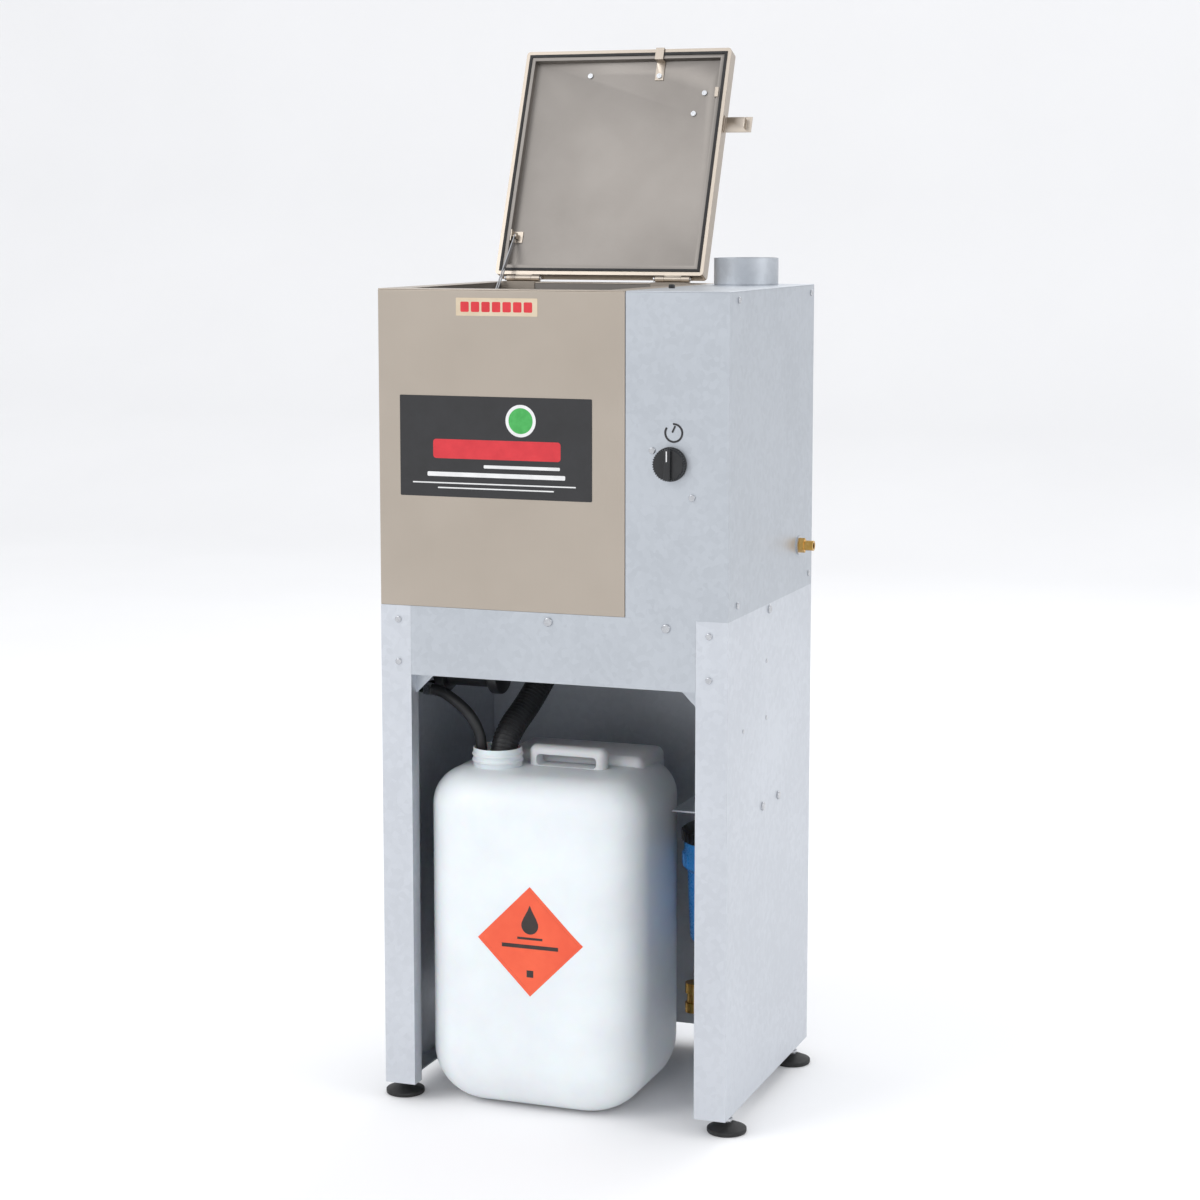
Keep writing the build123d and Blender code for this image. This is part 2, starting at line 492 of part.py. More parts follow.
def build_service():
    """Timer with its knob, compressed-air inlet, air line, and the lid's interlock valve."""
    axis_z = DECK - KNOB_DROP
    case = block(KNOB_X - TIMER_SIZE / 2, KNOB_X + TIMER_SIZE / 2, FRONT + SHEET, FRONT + SHEET + TIMER_DEPTH,
                 axis_z - TIMER_SIZE / 2, axis_z + TIMER_SIZE / 2)
    case -= rod((KNOB_X, FRONT, axis_z), BACKWARD, SHAFT_R + SHAFT_GAP, 24.0)
    keep("timer_body", drilled(case, TIMER_SCREWS, SCREW_R))
    shaft = rod((KNOB_X, FRONT - KNOB_H + 4.0, axis_z), BACKWARD, SHAFT_R, KNOB_H + 16.0)
    knob = rod((KNOB_X, FRONT - 1.0, axis_z), FORWARD, KNOB_R, KNOB_SKIRT_H)
    knob += rod((KNOB_X, FRONT - 1.0, axis_z), FORWARD, KNOB_R * 0.80, KNOB_SKIRT_H + 3.0)
    grip = block(KNOB_X - GRIP_W / 2, KNOB_X + GRIP_W / 2, FRONT - KNOB_H, FRONT - 1.0,
                 axis_z - KNOB_R * 0.92, axis_z + KNOB_R * 0.92)
    knob += fillet(grip.edges().filter_by(Axis.Z), 2.0)
    knob -= rod((KNOB_X, FRONT - KNOB_H + 4.0, axis_z), BACKWARD, SHAFT_R, 40.0)
    keep("timer_knob", knob, shaft)
    inlet_z = DECK - INLET_DROP
    start = (RIGHT - 16.0, INLET_Y, inlet_z)
    fitting = rod(start, (1, 0, 0), INLET_R, 16.0 + 2.0 + 7.0 + INLET_LENGTH)
    fitting += hex_bar((RIGHT + 2.0, INLET_Y, inlet_z), (1, 0, 0), INLET_HEX, 7.0)
    fitting -= rod((RIGHT - 20.0, INLET_Y, inlet_z), (1, 0, 0), INLET_BORE_R, 80.0)
    keep("inlet_fitting", fitting)
    washer = rod((RIGHT, INLET_Y, inlet_z), (1, 0, 0), 12.5, 2.0)
    washer -= rod((RIGHT - 1, INLET_Y, inlet_z), (1, 0, 0), INLET_R + HOLE_GAP, 4.0)
    nut = hex_bar((RIGHT - SHEET - 5.0, INLET_Y, inlet_z), (1, 0, 0), INLET_HEX + 2.0, 5.0)
    keep("inlet_nut", washer, nut - rod((RIGHT - 20, INLET_Y, inlet_z), (1, 0, 0), INLET_R, 30.0))
    valve_top = DECK - SHEET - SEAT_GAP
    valve = block(BUTTON_X - 14.0, BUTTON_X + 14.0, BUTTON_Y - 20.0, BUTTON_Y + 20.0,
                  valve_top - 45.0, valve_top)
    valve -= rod((BUTTON_X, BUTTON_Y, valve_top - 24.0), UP, BUTTON_R + SHAFT_GAP, 60.0)
    keep("interlock_valve", valve)
    button = rod((BUTTON_X, BUTTON_Y, valve_top - 20.0), UP, BUTTON_R, 20.0 + SHEET + SEAT_GAP + BUTTON_RISE)
    keep("interlock_button", fillet(button.edges().filter_by(GeomType.CIRCLE).sort_by(Axis.Z)[-1], 1.5))
    tube_x = RIGHT - 24.0
    line = FilletPolyline((tube_x, INLET_Y, inlet_z), (tube_x - 35.0, INLET_Y, inlet_z),
                          (tube_x - 45.0, INLET_Y - 60.0, inlet_z + 90.0),
                          (BUTTON_X, BUTTON_Y + 40.0, valve_top - 120.0),
                          (BUTTON_X, BUTTON_Y, valve_top - 75.0), (BUTTON_X, BUTTON_Y, valve_top - 45.0),
                          radius=12.0)
    tube = sweep(Plane(origin=line @ 0, z_dir=line % 0) * Circle(4.0), line)
    riser = FilletPolyline((RISER_X, PUMP_Y, SEAM - PUMP_DROP + PUMP_R - 0.01), (RISER_X, PUMP_Y, RISER_Z),
                           (SPLIT + 42.0, PUMP_Y, RISER_Z), (SPLIT + 42.0, 0, RISER_Z + 30.0),
                           (SPLIT + 42.0, 0, DECK - SPRAY_DROP),
                            (SPLIT + 24.0, 0, DECK - SPRAY_DROP), radius=9.0)
    delivery = sweep(Plane(origin=riser @ 0, z_dir=riser % 0) * Circle(LINE_R), riser)
    keep("service_lines", tube, rod((tube_x, INLET_Y, inlet_z), (1, 0, 0), 6.0, 8.0), delivery)


# ---- lid ----------------------------------------------------------------------------------------
HINGES = [(LID_LEFT + HINGE_INSET, LID_LEFT + HINGE_INSET + HINGE_W),
          (LID_RIGHT - HINGE_INSET - HINGE_W, LID_RIGHT - HINGE_INSET)]
STAY_X = MOUTH_X0 + 4.0
STAY_PIVOT_Z = LID_LOW + 4.5


def stay_pivot():
    """Where the stay's pivot stands, in Y and Z, with the lid open."""
    shut = Vector(0, -STAY_ARM, STAY_PIVOT_Z - HINGE_Z).rotate(Axis.X, -LID_OPEN)
    return HINGE_Y + shut.Y, HINGE_Z + shut.Z


def opened(shape):
    """Turns a piece of the shut lid about the hinge pin to the lid's standing angle."""
    axis = Axis((0, HINGE_Y, HINGE_Z), (1, 0, 0))
    return shape.rotate(axis, -LID_OPEN)


def build_lid():
    """Lid shell, liner, seal, catches, interlock tab and screws, modelled shut and then opened."""
    x0, x1, y0, y1 = LID_LEFT, LID_RIGHT, LID_FRONT, LID_BACK
    t = LID_SHEET
    shell = block(x0, x1, y0, y1, LID_LOW, LID_TOP)
    shell = fillet(shell.edges().filter_by(Axis.Z), 5.0)
    shell -= block(x0 + t, x1 - t, y0 + t, y1 - t, LID_LOW - 1, LID_TOP - t)
    lip = block(x0 + t, x1 - t, y0 + t, y1 - t, LID_LOW, LID_LOW + t)
    lip -= block(x0 + 5.0, x1 - 5.0, y0 + 5.0, y1 - 5.0, LID_LOW - 1, LID_LOW + 5)
    keep("lid_shell", opened(shell + lip))
    a, b = 5.0 + SEAL_W, LID_RIM
    liner = block(x0 + 5.0, x1 - 5.0, y0 + 5.0, y1 - 5.0, LID_LOW + t + 2.0, LID_LOW + 2 * t + 2.0)
    liner += block(x0 + a, x1 - a, y0 + a, y1 - a, LID_LOW, LID_LOW + t + 3.0)
    liner += block(x0 + b - t, x1 - b + t, y0 + b - t, y1 - b + t, LID_LOW, LID_LOW + LID_RECESS + t)
    liner -= block(x0 + b, x1 - b, y0 + b, y1 - b, LID_LOW - 1, LID_LOW + LID_RECESS)
    groove = block(x0 + a + t, x1 - a - t, y0 + a + t, y1 - a - t, LID_LOW + t, LID_LOW + t + 3.0)
    groove -= block(x0 + b - t, x1 - b + t, y0 + b - t, y1 - b + t, LID_LOW, LID_LOW + 20)
    s0, s1 = 5.0 + 0.2, 5.0 + SEAL_W - 0.2
    seal = block(x0 + s0, x1 - s0, y0 + s0, y1 - s0, LID_LOW - 1.2, LID_LOW + t + 2.0)
    seal -= block(x0 + s1, x1 - s1, y0 + s1, y1 - s1, LID_LOW - 5, LID_LOW + 20)
    keep("lid_seal", opened(seal))
    deck_z = LID_LOW + LID_RECESS
    catch_x = LID_LEFT + 196.0
    places = [(LID_LEFT + 95.0, y0 + 34.0, deck_z), (catch_x, y0 + 36.0, deck_z - t),
              (x1 - 34.0, y0 + 62.0, deck_z), (x1 - 46.0, y0 + 92.0, deck_z)]
    keep("lid_screws", *[opened(rod(place, DOWN, 3.6, 1.8) + rod(place, UP, SMALL_SHANK_R, 5.0))
                         for place in places])
    liner -= groove
    for place in places:
        liner -= rod(place, UP, SMALL_SHANK_R + HOLE_GAP, 6.0)
    keep("lid_liner", opened(liner))
    low = LID_LOW - 2 * t
    catch = block(catch_x - 6, catch_x + 6, y0 - t, y0 + b + 2.0, low - 0.1, low + t - 0.1)
    catch += block(catch_x - 6, catch_x + 6, y0 - t, y0, low - 0.1, LID_LOW + 8.0)
    catch += block(catch_x - 6, catch_x + 6, y0 + b + 0.8, y0 + b + 2.0, low - 0.1, deck_z)
    catch += block(catch_x - 6, catch_x + 6, y0 + b + 0.8, y0 + b + 28.0, deck_z - t, deck_z)
    catch -= rod((catch_x, y0 + 36.0, deck_z - 5.0), UP, SMALL_SHANK_R + HOLE_GAP, 10.0)
    hook_y = y0 + 58.0
    hook = block(x1 - b - 2.0, x1 - b + 3.0, hook_y, hook_y + 14.0, LID_LOW - t, LID_LOW)
    hook += block(x1 - b - 2.0, x1 - b - 0.8, hook_y, hook_y + 14.0, LID_LOW - t, deck_z)
    keep("lid_catches", opened(catch), opened(hook))
    tab_y = BUTTON_Y
    tab_z = LID_LOW + 11.0
    tab = block(x1, BUTTON_X + 5.0, tab_y - 11.0, tab_y + 11.0, tab_z, tab_z + 1.5)
    tab += block(x1, x1 + 1.5, tab_y - 11.0, tab_y + 11.0, tab_z - 6.0, tab_z + 1.5)
    tab += block(BUTTON_X - 4.0, BUTTON_X - 2.5, tab_y - 7.0, tab_y + 7.0, DECK + BUTTON_RISE + 0.6, tab_z)
    keep("interlock_tab", opened(tab))


def knuckle(x0, x1):
    """One hinge knuckle, bored for the pin."""
    outer = rod((x0, HINGE_Y, HINGE_Z), (1, 0, 0), BARREL_R, x1 - x0)
    return outer - rod((x0 - 1, HINGE_Y, HINGE_Z), (1, 0, 0), PIN_R + PIN_GAP, x1 - x0 + 2)


def build_hinges():
    """Two lid hinges: leaf over the deck and down the tank's back wall, leaf on the lid, and pin."""
    lower, upper, pins, leaf_screws = [], [], [], []
    bore_pad = PIN_R + PIN_GAP
    for x0, x1 in HINGES:
        third = (x1 - x0) / 4
        leaf = block(x0, x1, MOUTH_Y1 - LEAF_T, HINGE_Y + 2.0, DECK, DECK + LEAF_T)
        leaf += block(x0, x1, MOUTH_Y1 - LEAF_T, MOUTH_Y1, DECK - LEAF_DROP, DECK + LEAF_T)
        leaf += knuckle(x0, x0 + third) + knuckle(x1 - third, x1)
        leaf -= rod((x0 - 1, HINGE_Y, HINGE_Z), (1, 0, 0), bore_pad, x1 - x0 + 2)
        leaf -= block(x0 + third, x1 - third, HINGE_Y - BARREL_R - 0.6, HINGE_Y + BARREL_R,
                      DECK - 1, DECK + 2 * LEAF_T)
        holes = [((x, MOUTH_Y1 - LEAF_T, DECK - LEAF_DROP / 2 - 2.0), FORWARD)
                 for x in (x0 + 12.0, x1 - 12.0)]
        lower.append(drilled(leaf, holes, SMALL_SHANK_R, reach=8.0))
        leaf_screws += [headed(at, axis, 3.4, 1.6, SMALL_SHANK_R, LEAF_T) for at, axis in holes]
        m0, m1 = x0 + third + KNUCKLE_GAP, x1 - third - KNUCKLE_GAP
        plate = block(x0, x1, LID_BACK, LID_BACK + LEAF_T, LID_LOW + 7.0, LID_TOP - 3.0)
        plate += block(m0, m1, LID_BACK, LID_BACK + LEAF_T, HINGE_Z - 1.0, LID_LOW + 7.0)
        arm = block(m0, m1, LID_BACK, HINGE_Y, HINGE_Z + bore_pad, HINGE_Z + BARREL_R)
        upper.append(opened(plate + arm + knuckle(m0, m1)))
        pin = rod((x0 - 1.5, HINGE_Y, HINGE_Z), (1, 0, 0), PIN_R, x1 - x0 + 3.0)
        pin += rod((x0 - 1.5, HINGE_Y, HINGE_Z), (-1, 0, 0), PIN_R + 1.2, 1.2)
        pins.append(pin)
    keep("hinge_leaves_lower", *lower)
    keep("hinge_leaves_upper", *upper)
    keep("hinge_pins", *pins)
    keep("hinge_screws", *leaf_screws)


def build_stay():
    """Lid stay: a slotted strip on a lid bracket; it slides over the guide stud in the tank."""
    pivot_y = HINGE_Y - STAY_ARM
    bracket = block(STAY_X - 3.0 - LID_SHEET, STAY_X - 3.0, pivot_y - 8, pivot_y + 8,
                    LID_LOW - 1.0, LID_LOW + LID_RECESS)
    bracket += block(STAY_X - 3.0 - LID_SHEET, STAY_X + 10.0, pivot_y - 8, pivot_y + 8,
                     LID_LOW + LID_RECESS - LID_SHEET, LID_LOW + LID_RECESS)
    stud = rod((STAY_X - 3.0 - LID_SHEET, pivot_y, STAY_PIVOT_Z), (1, 0, 0), PIVOT_R, 3.0 + STAY_T + 3.2)
    stud += rod((STAY_X + STAY_T + 0.5, pivot_y, STAY_PIVOT_Z), (1, 0, 0), PIVOT_R + 1.6, 1.4)
    keep("stay_bracket", opened(bracket + stud))
    py, pz = stay_pivot()
    strip = Pos(STAY_X, 0, 0) * block(0, STAY_T, -STAY_W / 2, STAY_W / 2, -STAY_LENGTH, 0)
    strip += rod((STAY_X, 0, 0), (1, 0, 0), STAY_W / 2, STAY_T)
    strip += rod((STAY_X, 0, -STAY_LENGTH), (1, 0, 0), STAY_W / 2, STAY_T)
    strip -= rod((STAY_X - 1, 0, 0), (1, 0, 0), PIVOT_R + PIN_GAP, STAY_T + 2)
    strip -= block(STAY_X - 1, STAY_X + STAY_T + 1, -1.7, 1.7, -STAY_LENGTH, -STAY_LENGTH + 105.0)
    strip = strip.rotate(Axis.X, -STAY_LEAN)
    keep("stay_strip", Pos(0, py, pz) * strip)


# ---- drum, pump, hoses, filter ------------------------------------------------------------------
def drum_body(shrink):
    """The drum's outer form, or its inside when it is shrunk by the wall."""
    body = block(DRUM_LEFT + shrink, DRUM_RIGHT - shrink, DRUM_FRONT + shrink, DRUM_FRONT + DRUM_D - shrink,
                 shrink, DRUM_H - shrink)
    body = fillet(body.edges().filter_by(Axis.Z), DRUM_R - shrink)
    body = fillet(body.faces().sort_by(Axis.Z)[-1].edges(), DRUM_TOP_R - shrink)
    return fillet(body.faces().sort_by(Axis.Z)[0].edges(), DRUM_BASE_R - shrink)


def build_drum():
    """A blow-moulded drum with an open neck at its front left and a carrying handle on top."""
    drum = drum_body(0.0) + rod((NECK_X, NECK_Y, DRUM_H - 20.0), UP, NECK_R, NECK_H + 20.0)
    ends = (HANDLE_X - HANDLE_L / 2, HANDLE_X + HANDLE_L / 2)
    arch = block(ends[0], ends[1], HANDLE_Y - HANDLE_W / 2, HANDLE_Y + HANDLE_W / 2,
                 DRUM_H - 6.0, DRUM_H + HANDLE_H)
    arch = fillet(arch.edges().filter_by(Axis.Y).group_by(Axis.Z)[-1], 12.0)
    arch -= block(ends[0] + HANDLE_BAR, ends[1] - HANDLE_BAR, HANDLE_Y - 40, HANDLE_Y + 40,
                  DRUM_H, DRUM_H + HANDLE_H - HANDLE_BAR)
    drum += arch
    drum -= drum_body(DRUM_WALL)
    drum -= rod((NECK_X, NECK_Y, DRUM_H - 30.0), UP, NECK_R - NECK_WALL, NECK_H + 60.0)
    keep("drum", drum)


def tube_along(points, radius, ratio=0.45):
    """A round tube along straight runs joined by arcs as large as the runs allow, and its arc radii."""
    runs = [Vector(*b) - Vector(*a) for a, b in zip(points, points[1:])]
    radii = []
    for before, after in zip(runs, runs[1:]):
        half = math.radians(before.get_angle(after)) / 2
        radii.append(ratio * min(before.length, after.length) / math.tan(half))
    path = FilletPolyline(*points, radius=radii)
    tube = sweep(Plane(origin=path @ 0, z_dir=path % 0) * Circle(radius), path)
    return tube, radii, path.length


HOSE_POINTS = [(LEFT + 32.0, -118.0, 532.0), (LEFT + 50.0, -118.0, 532.0), (LEFT + 70.0, -120.5, 522.0),
               (LEFT + 90.0, -120.5, 507.0), (LEFT + 104.0, -117.0, 485.0), (LEFT + 107.5, -112.0, 459.0),
               (LEFT + 107.0, -113.0, 432.0)]
DRAIN_POINTS = [(DRAIN_X, DRAIN_Y, SEAM - DRAIN_TAIL), (DRAIN_X, DRAIN_Y, 590.0),
                (LEFT + 161.0, 2.0, 562.0), (LEFT + 154.0, -25.0, 533.0), (LEFT + 146.0, -53.0, 506.0),
                (LEFT + 135.0, -84.0, 481.0), (LEFT + 130.0, -99.0, 455.0), (LEFT + 130.0, -102.0, 427.0)]


def build_hoses():
    """The small suction hose and the corrugated drain hose, both dropped into the drum's neck."""
    for name, points, radius in (("suction_hose", HOSE_POINTS, HOSE_R),
                                 ("drain_hose", DRAIN_POINTS, DRAIN_HOSE_R)):
        tube, radii, length = tube_along(points, radius)
        print(name, "arc radii", [round(r, 1) for r in radii], "length %.1f" % length)
        print(name, "volume ratio %.4f" % (tube.volume / (math.pi * radius ** 2 * length)))
        keep(name, tube)


def build_pump():
    """Diaphragm pump under the cabinet, its bracket, port elbow, hose clamps and delivery line."""
    axis_z = SEAM - PUMP_DROP
    x0, x1 = PUMP_X - PUMP_L / 2, PUMP_X + PUMP_L / 2
    body = rod((x0 + 14.0, PUMP_Y, axis_z), (1, 0, 0), PUMP_R - 8.0, PUMP_L - 28.0)
    body += block(PUMP_X - 16.0, PUMP_X + 16.0, PUMP_Y - 20.0, PUMP_Y + 20.0, axis_z, axis_z + PUMP_R)
    heads = []
    for start in (x0, x1 - 14.0):
        head = rod((start, PUMP_Y, axis_z), (1, 0, 0), PUMP_R, 14.0)
        heads.append(fillet(head.edges().filter_by(GeomType.CIRCLE), 2.5))
    half = PUMP_R - 8.0
    bracket = block(PUMP_X - 28.0, PUMP_X + 6.0, PUMP_Y - half - 2.0, PUMP_Y + half + 2.0, SEAM - 2.0, SEAM)
    for low in (PUMP_Y - half - 2.0, PUMP_Y + half):
        bracket += block(PUMP_X - 28.0, PUMP_X - 8.0, low, low + 2.0, axis_z - 8.0, SEAM)
    keep("pump_bracket", bracket)
    hose_x, hose_y, hose_z = HOSE_POINTS[0]
    turn_x = hose_x - 7.0
    port = rod((x0, PUMP_Y - 12.0, hose_z), (-1, 0, 0), PORT_R, x0 - turn_x)
    port += Pos(turn_x, PUMP_Y - 12.0, hose_z) * Sphere(PORT_R)
    port += rod((turn_x, PUMP_Y - 12.0, hose_z), FORWARD, PORT_R, PUMP_Y - 12.0 - hose_y)
    port += Pos(turn_x, hose_y, hose_z) * Sphere(PORT_R) + rod((turn_x, hose_y, hose_z), (1, 0, 0), PORT_R, 7.0)
    keep("pump_body", body, *heads, port)


def ring_about(points, radius, wall, width):
    """A clamp band round a hose, just past the first point of its route."""
    start, toward = Vector(*points[0]), (Vector(*points[1]) - Vector(*points[0])).normalized()
    frame = Plane(origin=start + toward, z_dir=toward)
    band = frame * Cylinder(radius + wall, width, align=(Align.CENTER, Align.CENTER, Align.MIN))
    band -= Plane(origin=start - toward * 20.0, z_dir=toward) * Cylinder(radius + HOLE_GAP, 60.0,
                                                                        align=(Align.CENTER, Align.CENTER, Align.MIN))
    box = frame * (Pos(0, radius + 3.5, width / 2) * Box(9.0, 5.0, width))
    box -= Plane(origin=start - toward * 20.0, z_dir=toward) * Cylinder(radius + wall / 2, 60.0,
                                                                       align=(Align.CENTER, Align.CENTER, Align.MIN))
    return band + box


def build_filter():
    """Blue-bowled filter on a shelf bracket, with its lines, and the small coupling by the back panel."""
    inner = RIGHT - SHEET
    bracket = block(inner - BRACKET_REACH, inner, -BRACKET_L / 2, BRACKET_L / 2, BRACKET_Z, BRACKET_Z + 2.0)
    bracket += block(inner - 2.0, inner, -BRACKET_L / 2, BRACKET_L / 2, BRACKET_Z, BRACKET_Z + BRACKET_LEG)
    keep("filter_bracket", drilled(bracket, BRACKET_SCREWS, BOLT_R, reach=10.0))
    at = (FILTER_X, FILTER_Y)
    cap_low = FILTER_TOP_Z - FILTER_CAP_H
    cap = rod((*at, cap_low), UP, FILTER_CAP_R, FILTER_CAP_H)
    cap = fillet(cap.edges().filter_by(GeomType.CIRCLE).sort_by(Axis.Z)[-1], 7.0)
    cap += rod((*at, FILTER_TOP_Z - 2.0), UP, FILTER_BOSS_R, BRACKET_Z - FILTER_TOP_Z + 2.0)
    cap += rod((*at, cap_low - 20.0), UP, BOWL_R - BOWL_WALL - 0.1, 20.0)
    cap -= rod((*at, cap_low - 21.0), UP, BOWL_R - 3 * BOWL_WALL, 21.0)
    for side in (-1, 1):
        cap += rod((FILTER_X, 0, FILTER_TOP_Z - 10.0), (0, side, 0), 9.0, FILTER_CAP_R + PORT_REACH)
    keep("filter_cap", cap)
    foot = cap_low - FILTER_RING_H - BOWL_L
    outline = Polyline((0, foot), (BOWL_FOOT_R - 12.0, foot), (BOWL_FOOT_R, foot + 12.0),
                       (BOWL_R, cap_low - FILTER_RING_H), (FILTER_CAP_R - 6.0, cap_low - FILTER_RING_H),
                       (FILTER_CAP_R, cap_low - FILTER_RING_H + 10.0), (FILTER_CAP_R, cap_low),
                       (BOWL_R - BOWL_WALL, cap_low), (BOWL_R - BOWL_WALL, cap_low - FILTER_RING_H),
                       (BOWL_FOOT_R - BOWL_WALL, foot + 12.0), (BOWL_FOOT_R - 12.0, foot + BOWL_WALL),
                       (0, foot + BOWL_WALL), close=True)
    bowl = revolve(Plane.XZ * make_face(outline), Axis.Z)
    keep("filter_bowl", Pos(FILTER_X, FILTER_Y, 0) * bowl)
    cartridge = rod((*at, foot + BOWL_WALL + 4.0), UP, 29.0, cap_low - foot - BOWL_WALL - 4.0)
    keep("filter_cartridge", cartridge - rod((*at, foot), UP, 13.0, cap_low - foot - 12.0))
    lines = []
    for side in (-1, 1):
        route = FilletPolyline((FILTER_X, side * (FILTER_CAP_R + PORT_REACH), FILTER_TOP_Z - 10.0),
                               (FILTER_X, side * LINE_Y, FILTER_TOP_Z - 10.0),
                               (FILTER_X, side * LINE_Y, SEAM + 12.0), radius=8.0)
        lines.append(sweep(Plane(origin=route @ 0, z_dir=route % 0) * Circle(LINE_R), route))
    keep("filter_lines", *lines)
    x, y, z = 78.0, BACK - 28.0, 53.0
    clip = block(x - 8, x + 8, y + 10.0, BACK - 2 * SHEET, z + 15.0, z + 25.0)
    keep("low_coupling", rod((x, y, z), UP, 13.0, 13.0), rod((x, y, z + 13.0), UP, 10.5, 14.0),
         rod((x, y, z + 27.0), UP, 13.0, 14.0), clip - rod((x, y, z), UP, 10.5, 60.0))


def build_labels():
    """Thin applied labels: contents strip, front panel label, timer symbol and drum diamond."""
    face, skin = FRONT, FRONT - LABEL_T
    keep("cabinet_labels", block(LEFT + 106.0, LEFT + 214.0, skin, face, DECK - 32.7, DECK - 10.6),
         block(LEFT + 29.0, LEFT + 285.0, skin, face, DECK - 258.0, DECK - 132.0),
         block(KNOB_X - 9.0, KNOB_X + 17.0, skin, face, DECK - 183.0, DECK - 157.0))
    diamond = Rot(0, 45, 0) * Box(100.0, LABEL_T, 100.0)
    keep("drum_label", Pos(-26.0, DRUM_FRONT - LABEL_T / 2, 232.0) * diamond)


def main():
    """Builds every node and writes one STEP file for each."""
    build_stand()
    build_feet()
    build_cabinet()
    build_basin()
    build_service()
    build_lid()
    build_hinges()
    build_stay()
    build_drum()
    build_pump()
    build_hoses()
    keep("hose_clamps", ring_about(HOSE_POINTS, HOSE_R, 1.0, 8.0),
         ring_about(DRAIN_POINTS, DRAIN_HOSE_R, 1.2, 11.0))
    build_filter()
    build_labels()
    os.makedirs("parts", exist_ok=True)
    for name, solids in NODES.items():
        export_step(Compound(children=solids) if len(solids) > 1 else solids[0], f"parts/{name}.step")


main()
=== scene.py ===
"""A parts washer: wash tank and timer bay on a sheet-metal stand, with its drum, pump, hoses and filter."""

import logging
import math
from dataclasses import dataclass
from enum import Enum

import bmesh
import bpy
from mathutils import Matrix, Vector
from mathutils.bvhtree import BVHTree


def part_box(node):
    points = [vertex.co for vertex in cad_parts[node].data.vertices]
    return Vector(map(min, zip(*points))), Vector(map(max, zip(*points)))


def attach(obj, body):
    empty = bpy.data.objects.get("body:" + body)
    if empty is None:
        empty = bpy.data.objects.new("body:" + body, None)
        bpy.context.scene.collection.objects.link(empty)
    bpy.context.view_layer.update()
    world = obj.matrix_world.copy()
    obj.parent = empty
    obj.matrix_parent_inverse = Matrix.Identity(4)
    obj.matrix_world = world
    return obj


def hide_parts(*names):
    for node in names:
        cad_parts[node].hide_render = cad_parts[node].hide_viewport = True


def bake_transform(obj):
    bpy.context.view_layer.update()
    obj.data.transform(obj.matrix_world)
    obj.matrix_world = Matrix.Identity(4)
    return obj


logging.basicConfig(level=logging.INFO, format="%(message)s")
LOG = logging.getLogger("parts_washer")
MM = 0.001
FRONT = -185.0

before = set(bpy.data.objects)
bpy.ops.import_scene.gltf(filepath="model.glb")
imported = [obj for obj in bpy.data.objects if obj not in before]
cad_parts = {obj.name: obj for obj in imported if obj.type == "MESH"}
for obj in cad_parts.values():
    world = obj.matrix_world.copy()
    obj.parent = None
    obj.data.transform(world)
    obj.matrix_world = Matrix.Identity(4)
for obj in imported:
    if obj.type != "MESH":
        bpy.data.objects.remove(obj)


class Body(Enum):
    """The moving bodies that a piece can ride on."""

    ROOT = "root"
    LID = "lid"
    STAY = "stay"
    KNOB = "knob"
    BUTTON = "button"
    DRUM = "drum"
    BOWL = "bowl"


class Grain(Enum):
    """The way a sheet's rolling or brushing marks run, as stretch factors along x, y and z."""

    UPRIGHT = (1.0, 1.0, 0.03)
    LEVEL = (0.03, 0.03, 1.0)
    EVEN = (1.0, 1.0, 1.0)


# ---- small tools ---------------------------------------------------------------------------------
def mm(x: float, y: float, z: float) -> Vector:
    """A point given in millimetres, in metres."""
    return Vector((x, y, z)) * MM


def linear(hex_colour: str) -> tuple[float, float, float, float]:
    """An sRGB hex colour as linear light.

    Args:
        hex_colour: six hex digits, such as "c8b8a6".

    Returns:
        Red, green, blue and an alpha of one.
    """
    parts = [int(hex_colour[i:i + 2], 16) / 255 for i in (0, 2, 4)]
    light = [c / 12.92 if c <= 0.04045 else ((c + 0.055) / 1.055) ** 2.4 for c in parts]
    return (*light, 1.0)


def add_node(tree: bpy.types.NodeTree, kind: str, settings: dict | None = None,
             inputs: dict | None = None) -> bpy.types.Node:
    """Adds a shader node with its settings, values and links.

    Args:
        tree: the node tree it goes into.
        kind: the node's class name.
        settings: attributes of the node.
        inputs: a socket to link or a value to set, by input name or index.

    Returns:
        The node.
    """
    node = tree.nodes.new(kind)
    for name, value in (settings or {}).items():
        setattr(node, name, value)
    for name, value in (inputs or {}).items():
        if isinstance(value, bpy.types.NodeSocket):
            tree.links.new(value, node.inputs[name])
        else:
            node.inputs[name].default_value = value
    return node


def blank_material(name: str) -> tuple[bpy.types.Material, bpy.types.NodeTree]:
    """An empty node material and its tree."""
    material = bpy.data.materials.new(name)
    material.use_nodes = True
    material.node_tree.nodes.clear()
    return material, material.node_tree


